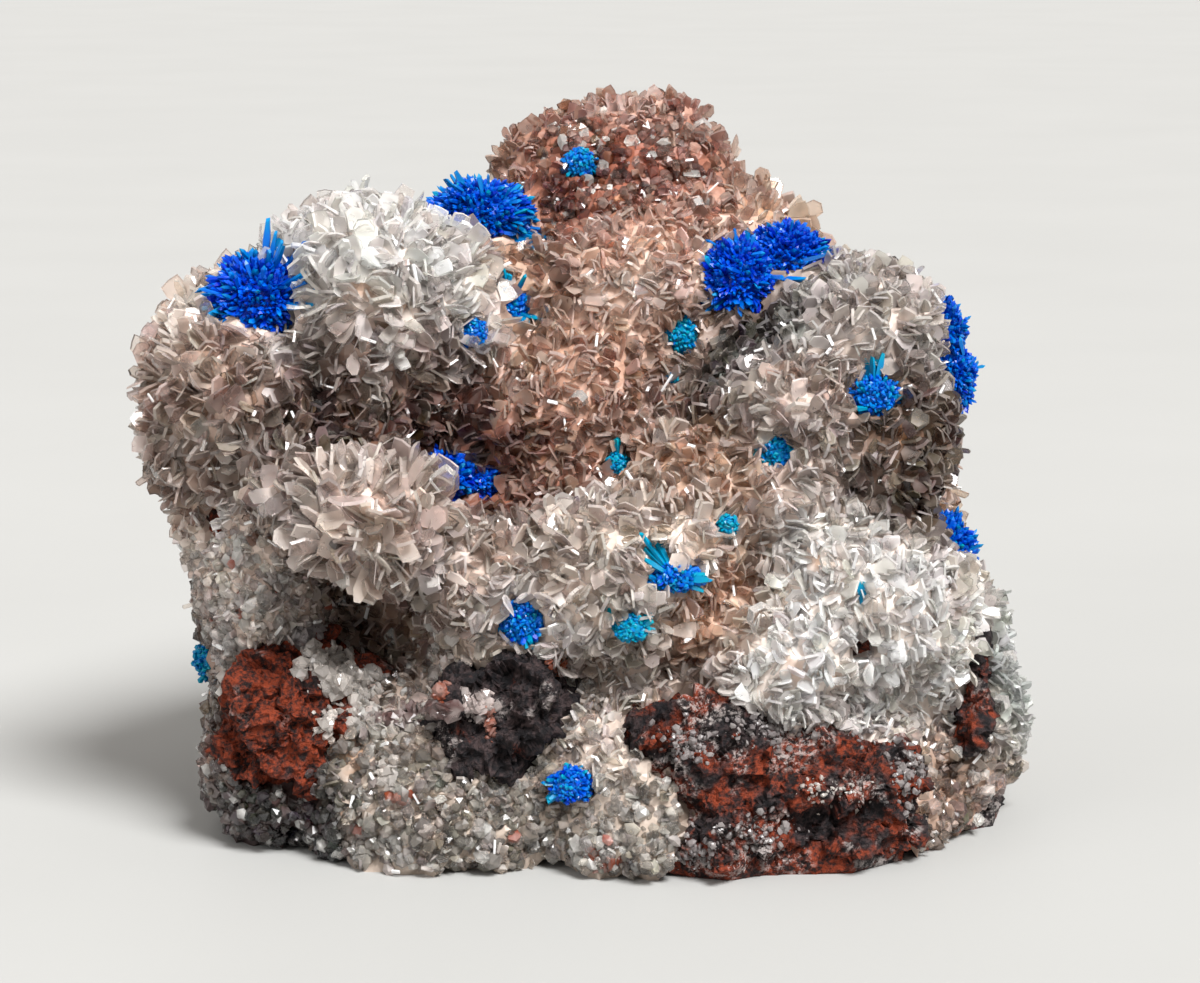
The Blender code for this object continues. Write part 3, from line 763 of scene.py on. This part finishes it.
# Single clear crystals: place in the look, the way each points, then length, width and thickness
clearCrystals = [
    ((-18.3, 13.2, -5.0), (-0.25, 1.0, 0.0), (2.0, 1.5, 0.25)),
    ((-9.9, -0.6, -13.0), (0.55, 0.7, -0.3), (2.3, 1.4, 0.5)),
    ((-6.6, -9.0, -14.0), (0.1, 1.0, -0.4), (1.9, 1.2, 0.7)),
    ((-24.0, 0.6, -5.0), (-0.5, 0.6, -0.5), (1.6, 1.4, 0.5)),
    ((5.2, 19.8, 6.5), (0.7, 0.8, -0.3), (1.4, 1.3, 0.8)),
    ((5.4, 15.9, 3.0), (0.1, 0.6, -0.8), (1.0, 0.9, 0.6)),
    ((21.6, -12.3, -4.5), (0.9, 0.3, -0.4), (1.5, 1.2, 0.9)),
    ((22.3, -9.9, -4.0), (0.9, 0.5, -0.3), (1.3, 1.1, 0.8)),
    ((-4.6, 13.3, -2.0), (0.9, 0.35, -0.4), (1.8, 0.9, 0.4)),
    ((-13.0, 3.9, -11.0), (0.3, 1.0, -0.4), (1.5, 1.1, 0.4)),
    ((9.3, -8.0, -16.5), (-0.2, 0.8, -0.6), (1.9, 1.6, 0.5)),
    ((-1.6, 5.0, -8.0), (0.5, 0.4, -0.8), (1.2, 1.0, 0.5)),
]


clearTint = (0.98, 0.97, 0.95, 1.0)
clearStray = 6.0  # past this distance from its place, a crystal sits on the surface nearest to it


def clearPiece(tree, material):
    batch = Batch()
    shape = plateShape(6, random.Random(2))
    for place, way, (length, broad, thick) in clearCrystals:
        aim = fromLook(*place)
        root = tree.ray_cast(lookEye, (aim - lookEye).normalized())[0]
        if root is None or (root - aim).length >= clearStray:
            root = tree.find_nearest(aim)[0]
        along = (lookRight * way[0] + lookUp * way[1] + Vector((0, way[2], 0))).normalized()
        width = along.cross(lookOut + lookRight * 0.3).normalized()
        axes = [np.array([axis]) for axis in (width, along, width.cross(along))]
        sizes = np.array([(broad, length + blades["root"], thick)])
        batch.add(shape, np.array([root - along * blades["root"]]), axes, sizes, np.array([clearTint]))
    finishPiece("stilbite_clear", batch.mesh("stilbite_clear"), material, ["stilbite_crust"])


def triangleCount(name):
    return sum(len(face.vertices) - 2 for face in bpy.data.objects[name].data.polygons)


# Rosettes: each ball's place and half sizes (across, up, wide, deep, high), its sprigs
# (direction, length, blades), and how teal it is
rosettes = {
    "cavansite_left_dome": ([(-19.1, 10.7, 3.1, 2.4, 2.6)],
                            [(0.50, 1.0, -0.4, 4.7, 9), (1.0, 0.05, -0.8, 4.6, 7), (0.9, 0.55, -0.7, 4.4, 6),
                             (-0.2, 1.0, -0.2, 3.4, 4), (-1.0, -0.3, -0.3, 3.6, 4)], 0.1),
    "cavansite_behind_dome": ([(-6.8, 15.4, 3.0, 2.6, 2.1)],
                              [(1.0, -0.65, -0.6, 5.2, 8), (1.0, -0.2, -0.4, 4.4, 6), (0.7, 0.6, 0.0, 3.6, 5),
                               (-0.6, 0.8, 0.0, 3.2, 6)], 0.25),
    "cavansite_peak": ([(-1.2, 18.5, 1.0, 0.8, 0.9)], [], 0.6),
    "cavansite_right_crown": ([(7.9, 12.0, 2.5, 2.4, 2.3), (10.6, 13.1, 2.5, 2.2, 2.0)],
                              [(1.0, 0.30, 0.0, 5.8, 9), (1.0, 0.0, -0.2, 5.2, 6), (-0.4, 0.9, 0.0, 3.1, 4),
                              (-0.8, -0.8, -0.3, 3.3, 5), (0.3, -1.0, -0.4, 3.2, 4)], 0.1),
    "cavansite_hollow": ([(4.6, 8.8, 0.9, 0.8, 1.1)], [], 0.9),
    "cavansite_dome_side": ([(-5.2, 10.3, 1.25, 1.1, 1.3)],
                            [(-0.15, 1.0, -0.6, 2.8, 6), (0.8, -0.3, -0.6, 2.2, 5)], 0.4),
    "cavansite_dome_side_small": ([(-7.2, 9.0, 0.85, 0.8, 0.8)], [], 0.5),
    "cavansite_right_arm": ([(15.4, 5.3, 1.6, 1.2, 1.3)],
                            [(0.15, 1.0, -0.2, 2.6, 5), (1.0, 0.0, -0.3, 2.2, 4),
                             (-1.0, -0.3, -0.3, 2.2, 4)], 0.45),
    "cavansite_arm_tip": ([(10.0, 2.1, 1.2, 1.0, 1.2)],
                          [(0.2, 1.0, -0.3, 1.8, 4), (-1.0, 0.2, -0.4, 1.7, 3),
                           (0.9, -0.5, -0.4, 1.6, 3)], 0.75),
    "cavansite_right_side": ([(19.0, 8.9, 1.7, 2.0, 2.1), (19.7, 6.5, 1.5, 2.0, 2.2)], [], 0.3),
    "cavansite_right_side_small": ([(18.9, 2.6, 0.9, 1.0, 1.2)], [], 0.6),
    "cavansite_right_swell": ([(19.0, -3.6, 2.1, 2.2, 2.4)], [(0.3, -1.0, -0.4, 3.4, 7)], 0.3),
    "cavansite_valley": ([(-8.7, 0.6, 2.0, 1.8, 1.9), (-6.4, 0.4, 1.4, 1.3, 1.3)], [], 0.15),
    "cavansite_centre": ([(1.0, 1.5, 0.75, 0.7, 0.85)], [(0.0, 1.0, -0.3, 1.6, 4)], 0.9),
    "cavansite_mound": ([(4.2, -4.9, 1.7, 1.0, 0.8)],
                        [(-0.50, 1.0, -0.3, 3.2, 5), (1.0, 0.0, -0.3, 2.3, 4)], 0.5),
    "cavansite_mound_left": ([(-4.4, -7.4, 1.2, 1.1, 1.35)], [(0.2, -1.0, -0.4, 1.8, 4)], 0.5),
    "cavansite_mound_low": ([(1.8, -7.7, 1.1, 0.8, 0.8)],
                            [(-1.0, 0.8, -0.3, 1.9, 4), (1.0, 0.3, -0.4, 1.6, 3)], 0.95),
    "cavansite_mound_right": ([(7.2, -1.9, 0.65, 0.6, 0.65)], [], 0.95),
    "cavansite_left_wall": ([(-22.1, -9.5, 0.9, 1.0, 1.1)], [], 0.8),
    "cavansite_foot": ([(-1.6, -16.6, 1.35, 1.0, 1.0)], [(-0.9, -0.6, -0.2, 1.8, 4)], 0.4),
    "cavansite_back_left": ([(-12.5, 7.0, 2.2, 1.9, 2.1)], [(-0.5, 1.0, 0.0, 3.0, 5)], 0.2),
    "cavansite_back_right": ([(11.5, 3.0, 2.0, 1.8, 2.0)], [(0.6, 1.0, 0.0, 2.8, 5)], 0.2),
    "cavansite_back_middle": ([(-3.0, -2.5, 1.2, 1.1, 1.2)], [], 0.5),
}
# Tiny ones without a solid of their own: place in the look, half size, the way a lone blade points
specks = [
    ((4.1, 6.4), 0.38, None),
    ((14.8, -6.5), 0.0, (0.1, 1.0, -0.2)),
    ((-7.6, -1.2), 0.3, None),
]
needles = {
    "spacing": 0.215,
    "width": 0.255,
    "thickness": 0.17,
    "length": 0.4,  # of the way from a ball's middle to its surface
    "scale": (0.7, 1.3),
    "lean": 0.22,
    "uneven": 0.05,
    "reach": 0.96,  # of the ball's half sizes
    "lumps": (2.2, 0.20),  # how many in the ball, how high
    "smallLumps": (6.0, 0.16),
    "ragged": (-0.08, 0.06),
    "spikes": 0.07,
    "spikeReach": (0.05, 0.22),
    "spikeTeal": 2.5,  # how much more teal its spikes are, and less its small lumps
    "lumpTeal": 0.3,
    "mottle": 0.12,
    "core": 0.78,
    # painted shade: the core that shows between the needles is painted darker
    "coreShade": 0.2,
    "buried": 0.3,  # needles that end deeper than this in the crust are left out
    "grown": 1.07,
    "middle": 0.56,  # where a ball's middle lies between the look's way in and its way out
}
sprigs = {
    "spread": 0.16,
    "lengths": (0.72, 1.0),
    "width": (0.3, 0.55),
    "thickness": (0.12, 0.2),
    "teal": 0.45,  # more than its ball
}
loneBlade = {"length": 1.6, "count": 2, "teal": 0.5}
speckTeal = 0.9


def needleShape():  # a four-sided needle, 1 wide, 1 long from its root, 1 thick
    bm = bmesh.new()
    bmesh.ops.create_cone(bm, cap_ends=True, segments=4, radius1=0.35, radius2=0.62, depth=0.8)
    top = [face for face in bm.faces if face.normal.z > 0.9]
    bmesh.ops.poke(bm, faces=top, offset=0.2)
    bmesh.ops.translate(bm, vec=Vector((0, 0, 0.4)), verts=bm.verts)
    bmesh.ops.rotate(bm, matrix=Matrix.Rotation(-math.pi / 2, 3, "X"), verts=bm.verts)
    return shapeArrays(bm)


def coreShape():
    bm = bmesh.new()
    bmesh.ops.create_icosphere(bm, subdivisions=3, radius=1.0)
    return shapeArrays(bm)


def ballMiddle(tree, across, up):
    ray = (fromLook(across, up, 0.0) - lookEye).normalized()
    crossings = []
    start = lookEye
    while True:
        hit = tree.ray_cast(start, ray)[0]
        if hit is None:
            break
        crossings.append(hit)
        start = hit + ray * 0.01
    return crossings[0].lerp(crossings[-1], needles["middle"])


def rosetteTint(teal, shade):  # not a colour: how teal and how light the material makes it
    return (teal, shade, 0.0, 1.0)


def addBall(batch, middle, radii, teal, crust, draws):
    around = np.arange(int(4 * math.pi * np.mean(radii) ** 2 / needles["spacing"] ** 2))
    high = 1 - 2 * (around + 0.5) / len(around)
    turn = around * goldenTurn
    flat = np.sqrt(1 - high * high)
    even = np.stack([flat * np.cos(turn), flat * np.sin(turn), high], 1)
    ways = unit(even + draws.normal(0, needles["uneven"], even.shape))
    (size, rise), (fineSize, fineRise) = needles["lumps"], needles["smallLumps"]
    lumps = np.array([noise.noise(Vector(way) * size + Vector(middle)) for way in ways])
    fine = np.array([noise.noise(Vector(way) * fineSize + Vector(middle)) for way in ways])
    spiky = draws.random(len(ways)) < needles["spikes"]
    spikes = np.where(spiky, draws.uniform(*needles["spikeReach"], len(ways)), 0.0)
    ragged = draws.uniform(*needles["ragged"], len(ways))
    reach = needles["reach"] + rise * lumps + fineRise * fine + ragged + spikes
    tips = ways * radii * reach[:, None]
    shown = np.array([outsideBy(crust, Vector(middle + tip)) > -needles["buried"] for tip in tips])
    ways, fine, spikes, tips = ways[shown], fine[shown], spikes[shown], tips[shown]
    length = np.linalg.norm(tips, axis=1)
    along = unit(unit(tips) + draws.normal(0, needles["lean"], tips.shape))
    axes = axesAlong(along, draws)
    root = middle + tips - along * (length * needles["length"])[:, None]
    scale = draws.uniform(*needles["scale"], len(ways))
    sizes = np.stack([needles["width"] * scale, length * needles["length"], needles["thickness"] * scale], 1)
    mottled = teal + draws.normal(0, needles["mottle"], len(ways))
    teals = np.clip(mottled + needles["spikeTeal"] * spikes - needles["lumpTeal"] * fine, 0, 1)
    looks = np.array([rosetteTint(*pair) for pair in zip(teals, draws.random(len(ways)))])
    batch.add(needleShape(), root, axes, sizes, looks)
    axes = [np.array([axis], float) for axis in ((1, 0, 0), (0, 1, 0), (0, 0, 1))]
    core = np.array([radii]) * needles["core"]
    coreLook = np.array([rosetteTint(teal, needles["coreShade"])])
    batch.add(coreShape(), np.array([middle]), axes, core, coreLook)


def addSprig(batch, middle, direction, length, count, teal, draws):
    across, up, back = direction
    way = np.array((lookRight * across + lookUp * up + Vector((0, back, 0))).normalized())
    along = unit(way + draws.normal(0, sprigs["spread"], (count, 3)))
    axes = axesAlong(along, draws)
    lengths = length * draws.uniform(*sprigs["lengths"], count)
    wide = draws.uniform(*sprigs["width"], count)
    sizes = np.stack([wide, lengths, draws.uniform(*sprigs["thickness"], count)], 1)
    looks = np.array([rosetteTint(min(1.0, teal + sprigs["teal"]), shade) for shade in draws.random(count)])
    shape = plateShape(6, random.Random(4))
    batch.add(shape, np.repeat(middle[None, :], count, axis=0), axes, sizes, looks)


def rosettePiece(name, crust, material):
    balls, ballSprigs, teal = rosettes[name]
    bm = nodeBmesh([name])
    tree = treeOf(bm)
    bm.free()
    draws = np.random.default_rng(len(name) * 7 + int(abs(balls[0][0]) * 10))
    batch = Batch()
    middles = []
    for across, up, wide, deep, high in balls:
        middle = ballMiddle(tree, across, up)
        share = (middle - lookEye).length / look["distance"]  # a farther ball is larger than it looks
        radii = np.array((wide * share, deep, high * share)) * needles["grown"]
        middles.append(np.array(middle))
        addBall(batch, middles[-1], radii, teal, crust, draws)
    for across, up, back, length, count in ballSprigs:
        addSprig(batch, middles[0], (across, up, back), length, count, teal, draws)
    finishPiece(name + "_needles", batch.mesh(name), material, [name])


def speckPiece(tree, material):
    batch = Batch()
    draws = np.random.default_rng(8)
    for place, radius, way in specks:
        middle = np.array(surfaceAt([tree], *place))
        if way:
            addSprig(batch, middle, way, loneBlade["length"], loneBlade["count"], loneBlade["teal"], draws)
        else:
            addBall(batch, middle, np.array((radius,) * 3), speckTeal, tree, draws)
    replaced = ["cavansite_hollow", "cavansite_right_swell", "cavansite_valley"]
    finishPiece("cavansite_specks", batch.mesh("cavansite_specks"), material, replaced)


def surfaceAt(trees, across, up):  # where the look first meets one of the surfaces
    ray = (fromLook(across, up, 0.0) - lookEye).normalized()
    hits = [tree.ray_cast(lookEye, ray)[0] for tree in trees]
    return min((hit for hit in hits if hit is not None), key=lambda hit: (hit - lookEye).length, default=None)


# Basalt
basalt = {
    "voxel": 0.19,
    "facets": [(2.4, 0.40), (1.1, 0.50), (0.5, 0.45)],  # size, slope
    "relief": [(0.5, 0.12), (0.25, 0.10)],
    "still": 0.1,  # below this height it stays flat, and the relief grows over the next millimetre
    "reds": ((0.008, 0.003, 0.003), (0.175, 0.026, 0.007)),
    "darks": ((0.003, 0.002, 0.003), (0.035, 0.022, 0.022)),
    "whites": (0.44, 0.39, 0.37),
    "looks": {  # red share, dark share, white share
        "basalt_left": (0.85, 0.30, 0.06),
        "basalt_middle": (0.20, 0.80, 0.12),
        "basalt_right": (0.64, 0.54, 0.32),
        "basalt_right_edge": (0.35, 0.55, 0.10),
        "basalt_right_foot": (0.45, 0.60, 0.20),
        "basalt_back": (0.60, 0.50, 0.30),
        "basalt_chip_left": (0.90, 0.25, 0.0),
        "basalt_chip_right": (0.60, 0.40, 0.0),
    },
}


def rockPiece(name, material):
    bm = nodeBmesh([name])
    bm = remeshed(bm, basalt["voxel"])
    bm.normal_update()
    for vert in bm.verts:
        height = sum(facetHeight(vert.co, size, slope) for size, slope in basalt["facets"])
        height += sum(noise.noise(vert.co / size) * high for size, high in basalt["relief"])
        vert.co += vert.normal * height * min(1.0, max(0.0, vert.co.z - basalt["still"]))
        vert.co.z = max(vert.co.z, 0.0)
    tree = treeOf(bm)
    finishPiece(name + "_stone", toMesh(bm, name), material, [name])
    return tree


# Crumbs of crust on the basalt and of basalt on the crust, and dark crumbs as painted shadow in a pit,
# a slit and two thin lines: place in the look, reach, how many, size, colour
pale = (0.72, 0.66, 0.61)
grey = (0.22, 0.19, 0.19)
rust = (0.28, 0.055, 0.018)
# painted shadow: the dark brown of two thin crumb lines
shadowBrown = (0.12, 0.060, 0.055)
crumbs = [
    ((-15.6, -9.6), (1.1, 0.7), 120, 0.45, pale),
    ((-14.0, -10.8), (1.3, 0.8), 190, 0.50, pale),
    ((-13.4, -12.2), (0.7, 1.0), 90, 0.40, pale),
    ((-15.4, -12.9), (0.5, 0.7), 40, 0.35, pale),
    ((-17.0, -8.3), (1.0, 0.5), 60, 0.45, grey),
    ((-11.9, -16.0), (0.8, 0.8), 70, 0.45, pale),
    ((-7.1, -12.1), (0.7, 0.6), 70, 0.35, (0.66, 0.55, 0.52)),
    # painted shadow: two thin lines of dark crumbs
    ((-9.6, -12.5), (0.9, 0.25), 80, 0.55, shadowBrown),
    ((-11.4, -12.9), (0.9, 0.25), 80, 0.55, shadowBrown),
    ((-9.0, -11.6), (0.25, 0.6), 25, 0.35, rust),
    ((-6.2, -12.9), (0.2, 0.9), 35, 0.32, rust),
    ((-2.4, -9.9), (0.3, 0.5), 25, 0.32, rust),
    ((5.0, -14.4), (1.3, 0.9), 130, 0.20, grey),
    ((9.8, -13.3), (1.8, 0.8), 170, 0.20, grey),
    ((14.9, -12.7), (1.6, 1.1), 150, 0.24, grey),
    ((9.0, -19.3), (2.0, 0.9), 110, 0.20, grey),
    ((13.0, -17.0), (1.8, 0.7), 80, 0.16, pale),
    ((5.6, -20.4), (1.2, 0.8), 90, 0.22, grey),
    ((17.4, -15.6), (0.8, 1.8), 110, 0.26, grey),
    ((-11.0, -17.3), (0.7, 0.15), 16, 0.35, rust),
    ((-9.3, -17.9), (0.5, 0.15), 12, 0.35, rust),
    ((-20.3, -6.3), (0.15, 0.7), 22, 0.32, rust),
    # painted shadow: dark crumbs in a pit and a slit of the crust
    ((-15.6, -3.1), (0.6, 0.6), 40, 0.40, (0.05, 0.03, 0.025)),
    ((-19.6, -2.6), (0.8, 0.15), 24, 0.35, (0.16, 0.07, 0.04)),
    ((0.3, -20.9), (1.0, 0.5), 50, 0.35, rust),
]
crumbLook = {
    "scatter": 0.6,  # of the reach
    "lowest": 0.3,  # none lie nearer the ground
    "lean": 0.5,
    "sizes": (0.35, 1.9),
    "fewLarge": 1.3,  # a power that makes large ones rare
    "shape": (0.35, 1.4),
    "shade": (0.65, 1.2),
    "clear": 0.3,  # of crumbs of crust, whose colour has at least this much blue
    "crustBlue": 0.2,
}


def crumbPiece(trees, material):
    draws = np.random.default_rng(55)
    batch = Batch()
    shape = grainShape(random.Random(12))
    for place, reach, count, size, colour in crumbs:
        spread = np.array(reach) * crumbLook["scatter"]
        roots = [surfaceAt(trees, *(place + draws.normal(0, spread))) for _ in range(count)]
        roots = np.array([root for root in roots if root is not None and root.z > crumbLook["lowest"]])
        count = len(roots)
        along = unit(np.array(lookOut) + draws.normal(0, crumbLook["lean"], (count, 3)))
        axes = axesAlong(along, draws)
        grown = draws.uniform(*crumbLook["sizes"], (count, 1)) ** crumbLook["fewLarge"]
        sizes = size * grown * draws.uniform(*crumbLook["shape"], (count, 3))
        shaded = np.clip(np.array(colour) * draws.uniform(*crumbLook["shade"], (count, 1)), 0, 0.98)
        clear = crumbLook["clear"] if colour[2] > crumbLook["crustBlue"] else 0.0
        looks = np.hstack([shaded, np.full((count, 1), clear)])
        batch.add(shape, roots - along * sizes[:, 1:2] * 0.5, axes, sizes, looks)
    finishPiece("stilbite_crumbs", batch.mesh("stilbite_crumbs"), material, ["stilbite_crust"])


# Materials

stilbiteLook = {
    "milkyThrough": 0.5,  # how much light the milky part lets through
    "cloud": (0.95, 0.90, 0.85),
    # painted highlight: the paler colour of the blades' side faces, for light caught along their rims
    "rimHighlight": (1.0, 0.98, 0.95),
    "clearLift": 0.15,  # how much paler the clear part is than the milky one
    "stain": (0.42, 0.20, 0.08),
    "dust": ((0.75, 0.72, 0.70), (1.15, 1.13, 1.10)),
}
cavansiteLook = {
    "deep": ((0.0, 0.01, 0.31), (0.0, 0.05, 0.58)),
    "tip": ((0.0, 0.15, 0.64), (0.0, 0.27, 0.36)),
}


def stilbiteMaterial(name):  # milky near the root, clearer near the tip, with a painted rim highlight on the side faces
    paint = Paint(name, IOR=1.5, Transmission_Weight=stilbiteLook["milkyThrough"])
    tint = paint.attribute("tint", "Color")
    edge = paint.attribute("edge")
    cloudy = paint.mix(paint.step(paint.noise(0.8, 3), 0.35, 0.7) * 0.2, tint, stilbiteLook["cloud"])
    # painted highlight: side faces are mixed a little towards the pale rim colour
    highlightedRims = paint.mix(edge * 0.1, cloudy, stilbiteLook["rimHighlight"])
    paint.set(Base_Color=highlightedRims, Roughness=0.2 + paint.noise(0.5, 2) * 0.2)
    tipward = paint.step(paint.attribute("reach"), 0.0, 0.75)
    clear = paint.attribute("tint", "Alpha") * tipward * (1 - edge * 0.3)
    pale = paint.mix(stilbiteLook["clearLift"], tint, (1.0, 1.0, 1.0))
    paint.mixShader(clear, Base_Color=pale, Roughness=0.15, Transmission_Weight=1.0, IOR=1.45)
    return paint.material


def clearMaterial():  # glass-clear, with milky, paler edges: partly milkiness, partly a painted rim highlight
    paint = Paint("clear stilbite", IOR=1.5, Transmission_Weight=1.0)
    tint = paint.attribute("tint", "Color")
    paint.set(Base_Color=tint, Roughness=0.03 + paint.noise(0.6, 2) * 0.05)
    # milky, paler side faces: partly milkiness, partly a painted rim highlight
    paint.mixShader(paint.attribute("edge") * 0.25, Base_Color=(0.9, 0.86, 0.82), Roughness=0.3, IOR=1.5)
    return paint.material


def bodyMaterial():
    paint = Paint("stilbite mass", IOR=1.5)
    tint = paint.attribute("tint", "Color")
    grain = paint.noise(0.5, 4)
    veins = paint.step(paint.cells(0.9), 0.1, 0.6)
    dusty = paint.mix(grain, *stilbiteLook["dust"])
    colour = paint.mix(1.0, tint, dusty, "MULTIPLY")
    stain = paint.step(paint.noise(4.0, 3), 0.62, 0.72)
    stained = paint.mix(stain * 0.5, colour, stilbiteLook["stain"])
    height = grain * 0.5 + veins
    paint.set(Base_Color=stained, Roughness=0.3 + grain * 0.3, Normal=paint.bump(height, 0.5, 0.15))
    return paint.material


def cavansiteMaterial():
    paint = Paint("cavansite", IOR=1.54, Transmission_Weight=0.15, Specular_IOR_Level=0.12)
    tint = paint.attribute("tint", "Color")
    teal, shade = [paint.node("ShaderNodeSeparateColor", {}, {0: tint}, i) for i in range(2)]
    reach = paint.attribute("reach")
    # the needles run from deep blue to the tip colour by teal and, near their ends, by lightness: partly
    # their own teal, partly painted shade that keeps the lower needles and the core dark
    deep = paint.mix(shade, *cavansiteLook["deep"])
    tip = paint.mix(teal, *cavansiteLook["tip"])
    edge = (paint.step(reach, 0.72, 1.02) * shade * 0.7 + teal * 0.8).clamped()
    paint.set(Base_Color=paint.mix(edge, deep, tip), Roughness=0.18 + shade * 0.15)
    return paint.material


def basaltMaterial(name):
    red, dark, white = basalt["looks"][name]
    paint = Paint(name + " stone", IOR=1.5, Specular_IOR_Level=0.25)
    broad = paint.noise(2.4, 3, 0.6)
    patch = paint.noise(1.0, 5, 0.7)
    fine = paint.noise(0.32, 4, 0.7)
    grain = fine + (patch - 0.5) * 0.9
    reds = paint.mix(paint.step(grain, 0.36, 0.66), *basalt["reds"])
    darks = paint.mix(paint.step(grain, 0.38, 0.70), *basalt["darks"])
    stone = paint.mix(paint.step(broad + (dark - red) * 0.3, 0.44, 0.58), reds, darks)
    clusters = paint.step(paint.noise(2.8, 3, 0.5), 0.62 - 0.4 * white, 0.72 - 0.4 * white)
    specks = paint.step(paint.noise(0.5, 5, 0.8), 0.48, 0.58) * clusters
    speckled = paint.mix(specks * (0.85 * white ** 0.3), stone, basalt["whites"])
    bumps = paint.bump(fine + patch + paint.noise(0.15, 3), 0.9, 0.15)
    paint.set(Base_Color=speckled, Roughness=0.72 - specks * 0.35, Normal=bumps)
    return paint.material


floorLook = {
    "size": 3000.0,
    "patches": 40.0,
    "colours": ((0.34, 0.34, 0.33), (0.37, 0.37, 0.36)),
}


def floorMaterial():
    paint = Paint("floor", Roughness=0.6)
    paint.set(Base_Color=paint.mix(paint.noise(floorLook["patches"], 3), *floorLook["colours"]))
    return paint.material


# Camera, floor and light

def addCamera():
    lens = bpy.data.cameras.new("camera")
    lens.sensor_width = look["sensor"]
    lens.lens = look["lens"]
    lens.clip_start = look["nearest"]
    camera = bpy.data.objects.new("camera", lens)
    camera.location = lookEye * mm
    camera.rotation_euler = (math.pi / 2 - look["elevation"], 0, 0)
    bpy.context.scene.collection.objects.link(camera)
    bpy.context.scene.camera = camera


lights = {  # kind, where it comes from, strength, size (degrees for a sun, millimetres for an area)
    "key": ("SUN", (0.42, -0.66, 0.97), 6.7, 24),
    "fill": ("AREA", (-300, -260, 160), 0.5, 260),
}
skyLight = {"colour": (1.0, 0.96, 0.92, 1.0), "strength": 0.6}


def addLights():
    for name, (kind, place, power, size) in lights.items():
        lamp = bpy.data.lights.new(name, kind)
        lamp.energy = power
        if kind == "SUN":
            lamp.angle = math.radians(size)
        else:
            lamp.size = size * mm
        made = bpy.data.objects.new(name, lamp)
        made.location = Vector(place) * mm
        made.rotation_euler = (-Vector(place)).to_track_quat("-Z", "Y").to_euler()
        bpy.context.scene.collection.objects.link(made)
    world = bpy.data.worlds.new("studio")
    world.use_nodes = True
    background = world.node_tree.nodes["Background"]
    background.inputs["Color"].default_value = skyLight["colour"]
    background.inputs["Strength"].default_value = skyLight["strength"]
    bpy.context.scene.world = world
    bpy.context.scene.view_settings.view_transform = "Standard"


def addFloor():
    bm = bmesh.new()
    bmesh.ops.create_grid(bm, x_segments=1, y_segments=1, size=floorLook["size"])
    floor = addObject("floor", toMesh(bm, "floor"))
    floor.data.materials.append(floorMaterial())


addCamera()
addLights()
addFloor()
print("camera, light and floor done")

rockBmesh = nodeBmesh(rockNames)
rockTree = treeOf(rockBmesh)
rosetteBmesh = nodeBmesh(rosetteNames)
rosetteTree = treeOf(rosetteBmesh)

bodyBmesh = crustBody()
bodyTree = treeOf(bodyBmesh)
stilbite = stilbiteMaterial("stilbite blade")
bladePieces(bodyBmesh, bodyTree, stilbite)
clearPiece(bodyTree, clearMaterial())
bodyPoints = np.array([vert.co for vert in bodyBmesh.verts])
bodyNormals = np.array([vert.normal for vert in bodyBmesh.verts])
bodyOpen = openShares(bodyTree, bodyPoints, bodyNormals, body["rays"])
bodyColours = zoneValues(bodyPoints)[:, 3:6]
bodyMesh = toMesh(bodyBmesh, "stilbite_mass")
closed, opened = body["open"]
# painted shade: the mass is darker, and warmer, where less sky is open above it
bodyShadedTint = bodyColours * np.clip(closed + opened * bodyOpen[:, None], 0, 1) ** np.array(body["shadeWarmth"])
setAttribute(bodyMesh, "tint", "FLOAT_COLOR", np.hstack([bodyShadedTint, np.ones((len(bodyShadedTint), 1))]))
finishPiece("stilbite_mass", bodyMesh, bodyMaterial(), ["stilbite_crust"])
print("crust done,", triangleCount("stilbite_mass"), "triangles")

blue = cavansiteMaterial()
for name in rosetteNames:
    rosettePiece(name, bodyTree, blue)
speckPiece(bodyTree, blue)
print("rosettes done")
stoneTrees = [rockPiece(name, basaltMaterial(name)) for name in rockNames]
crumbPiece([bodyTree, *stoneTrees], stilbite)
print("basalt done")
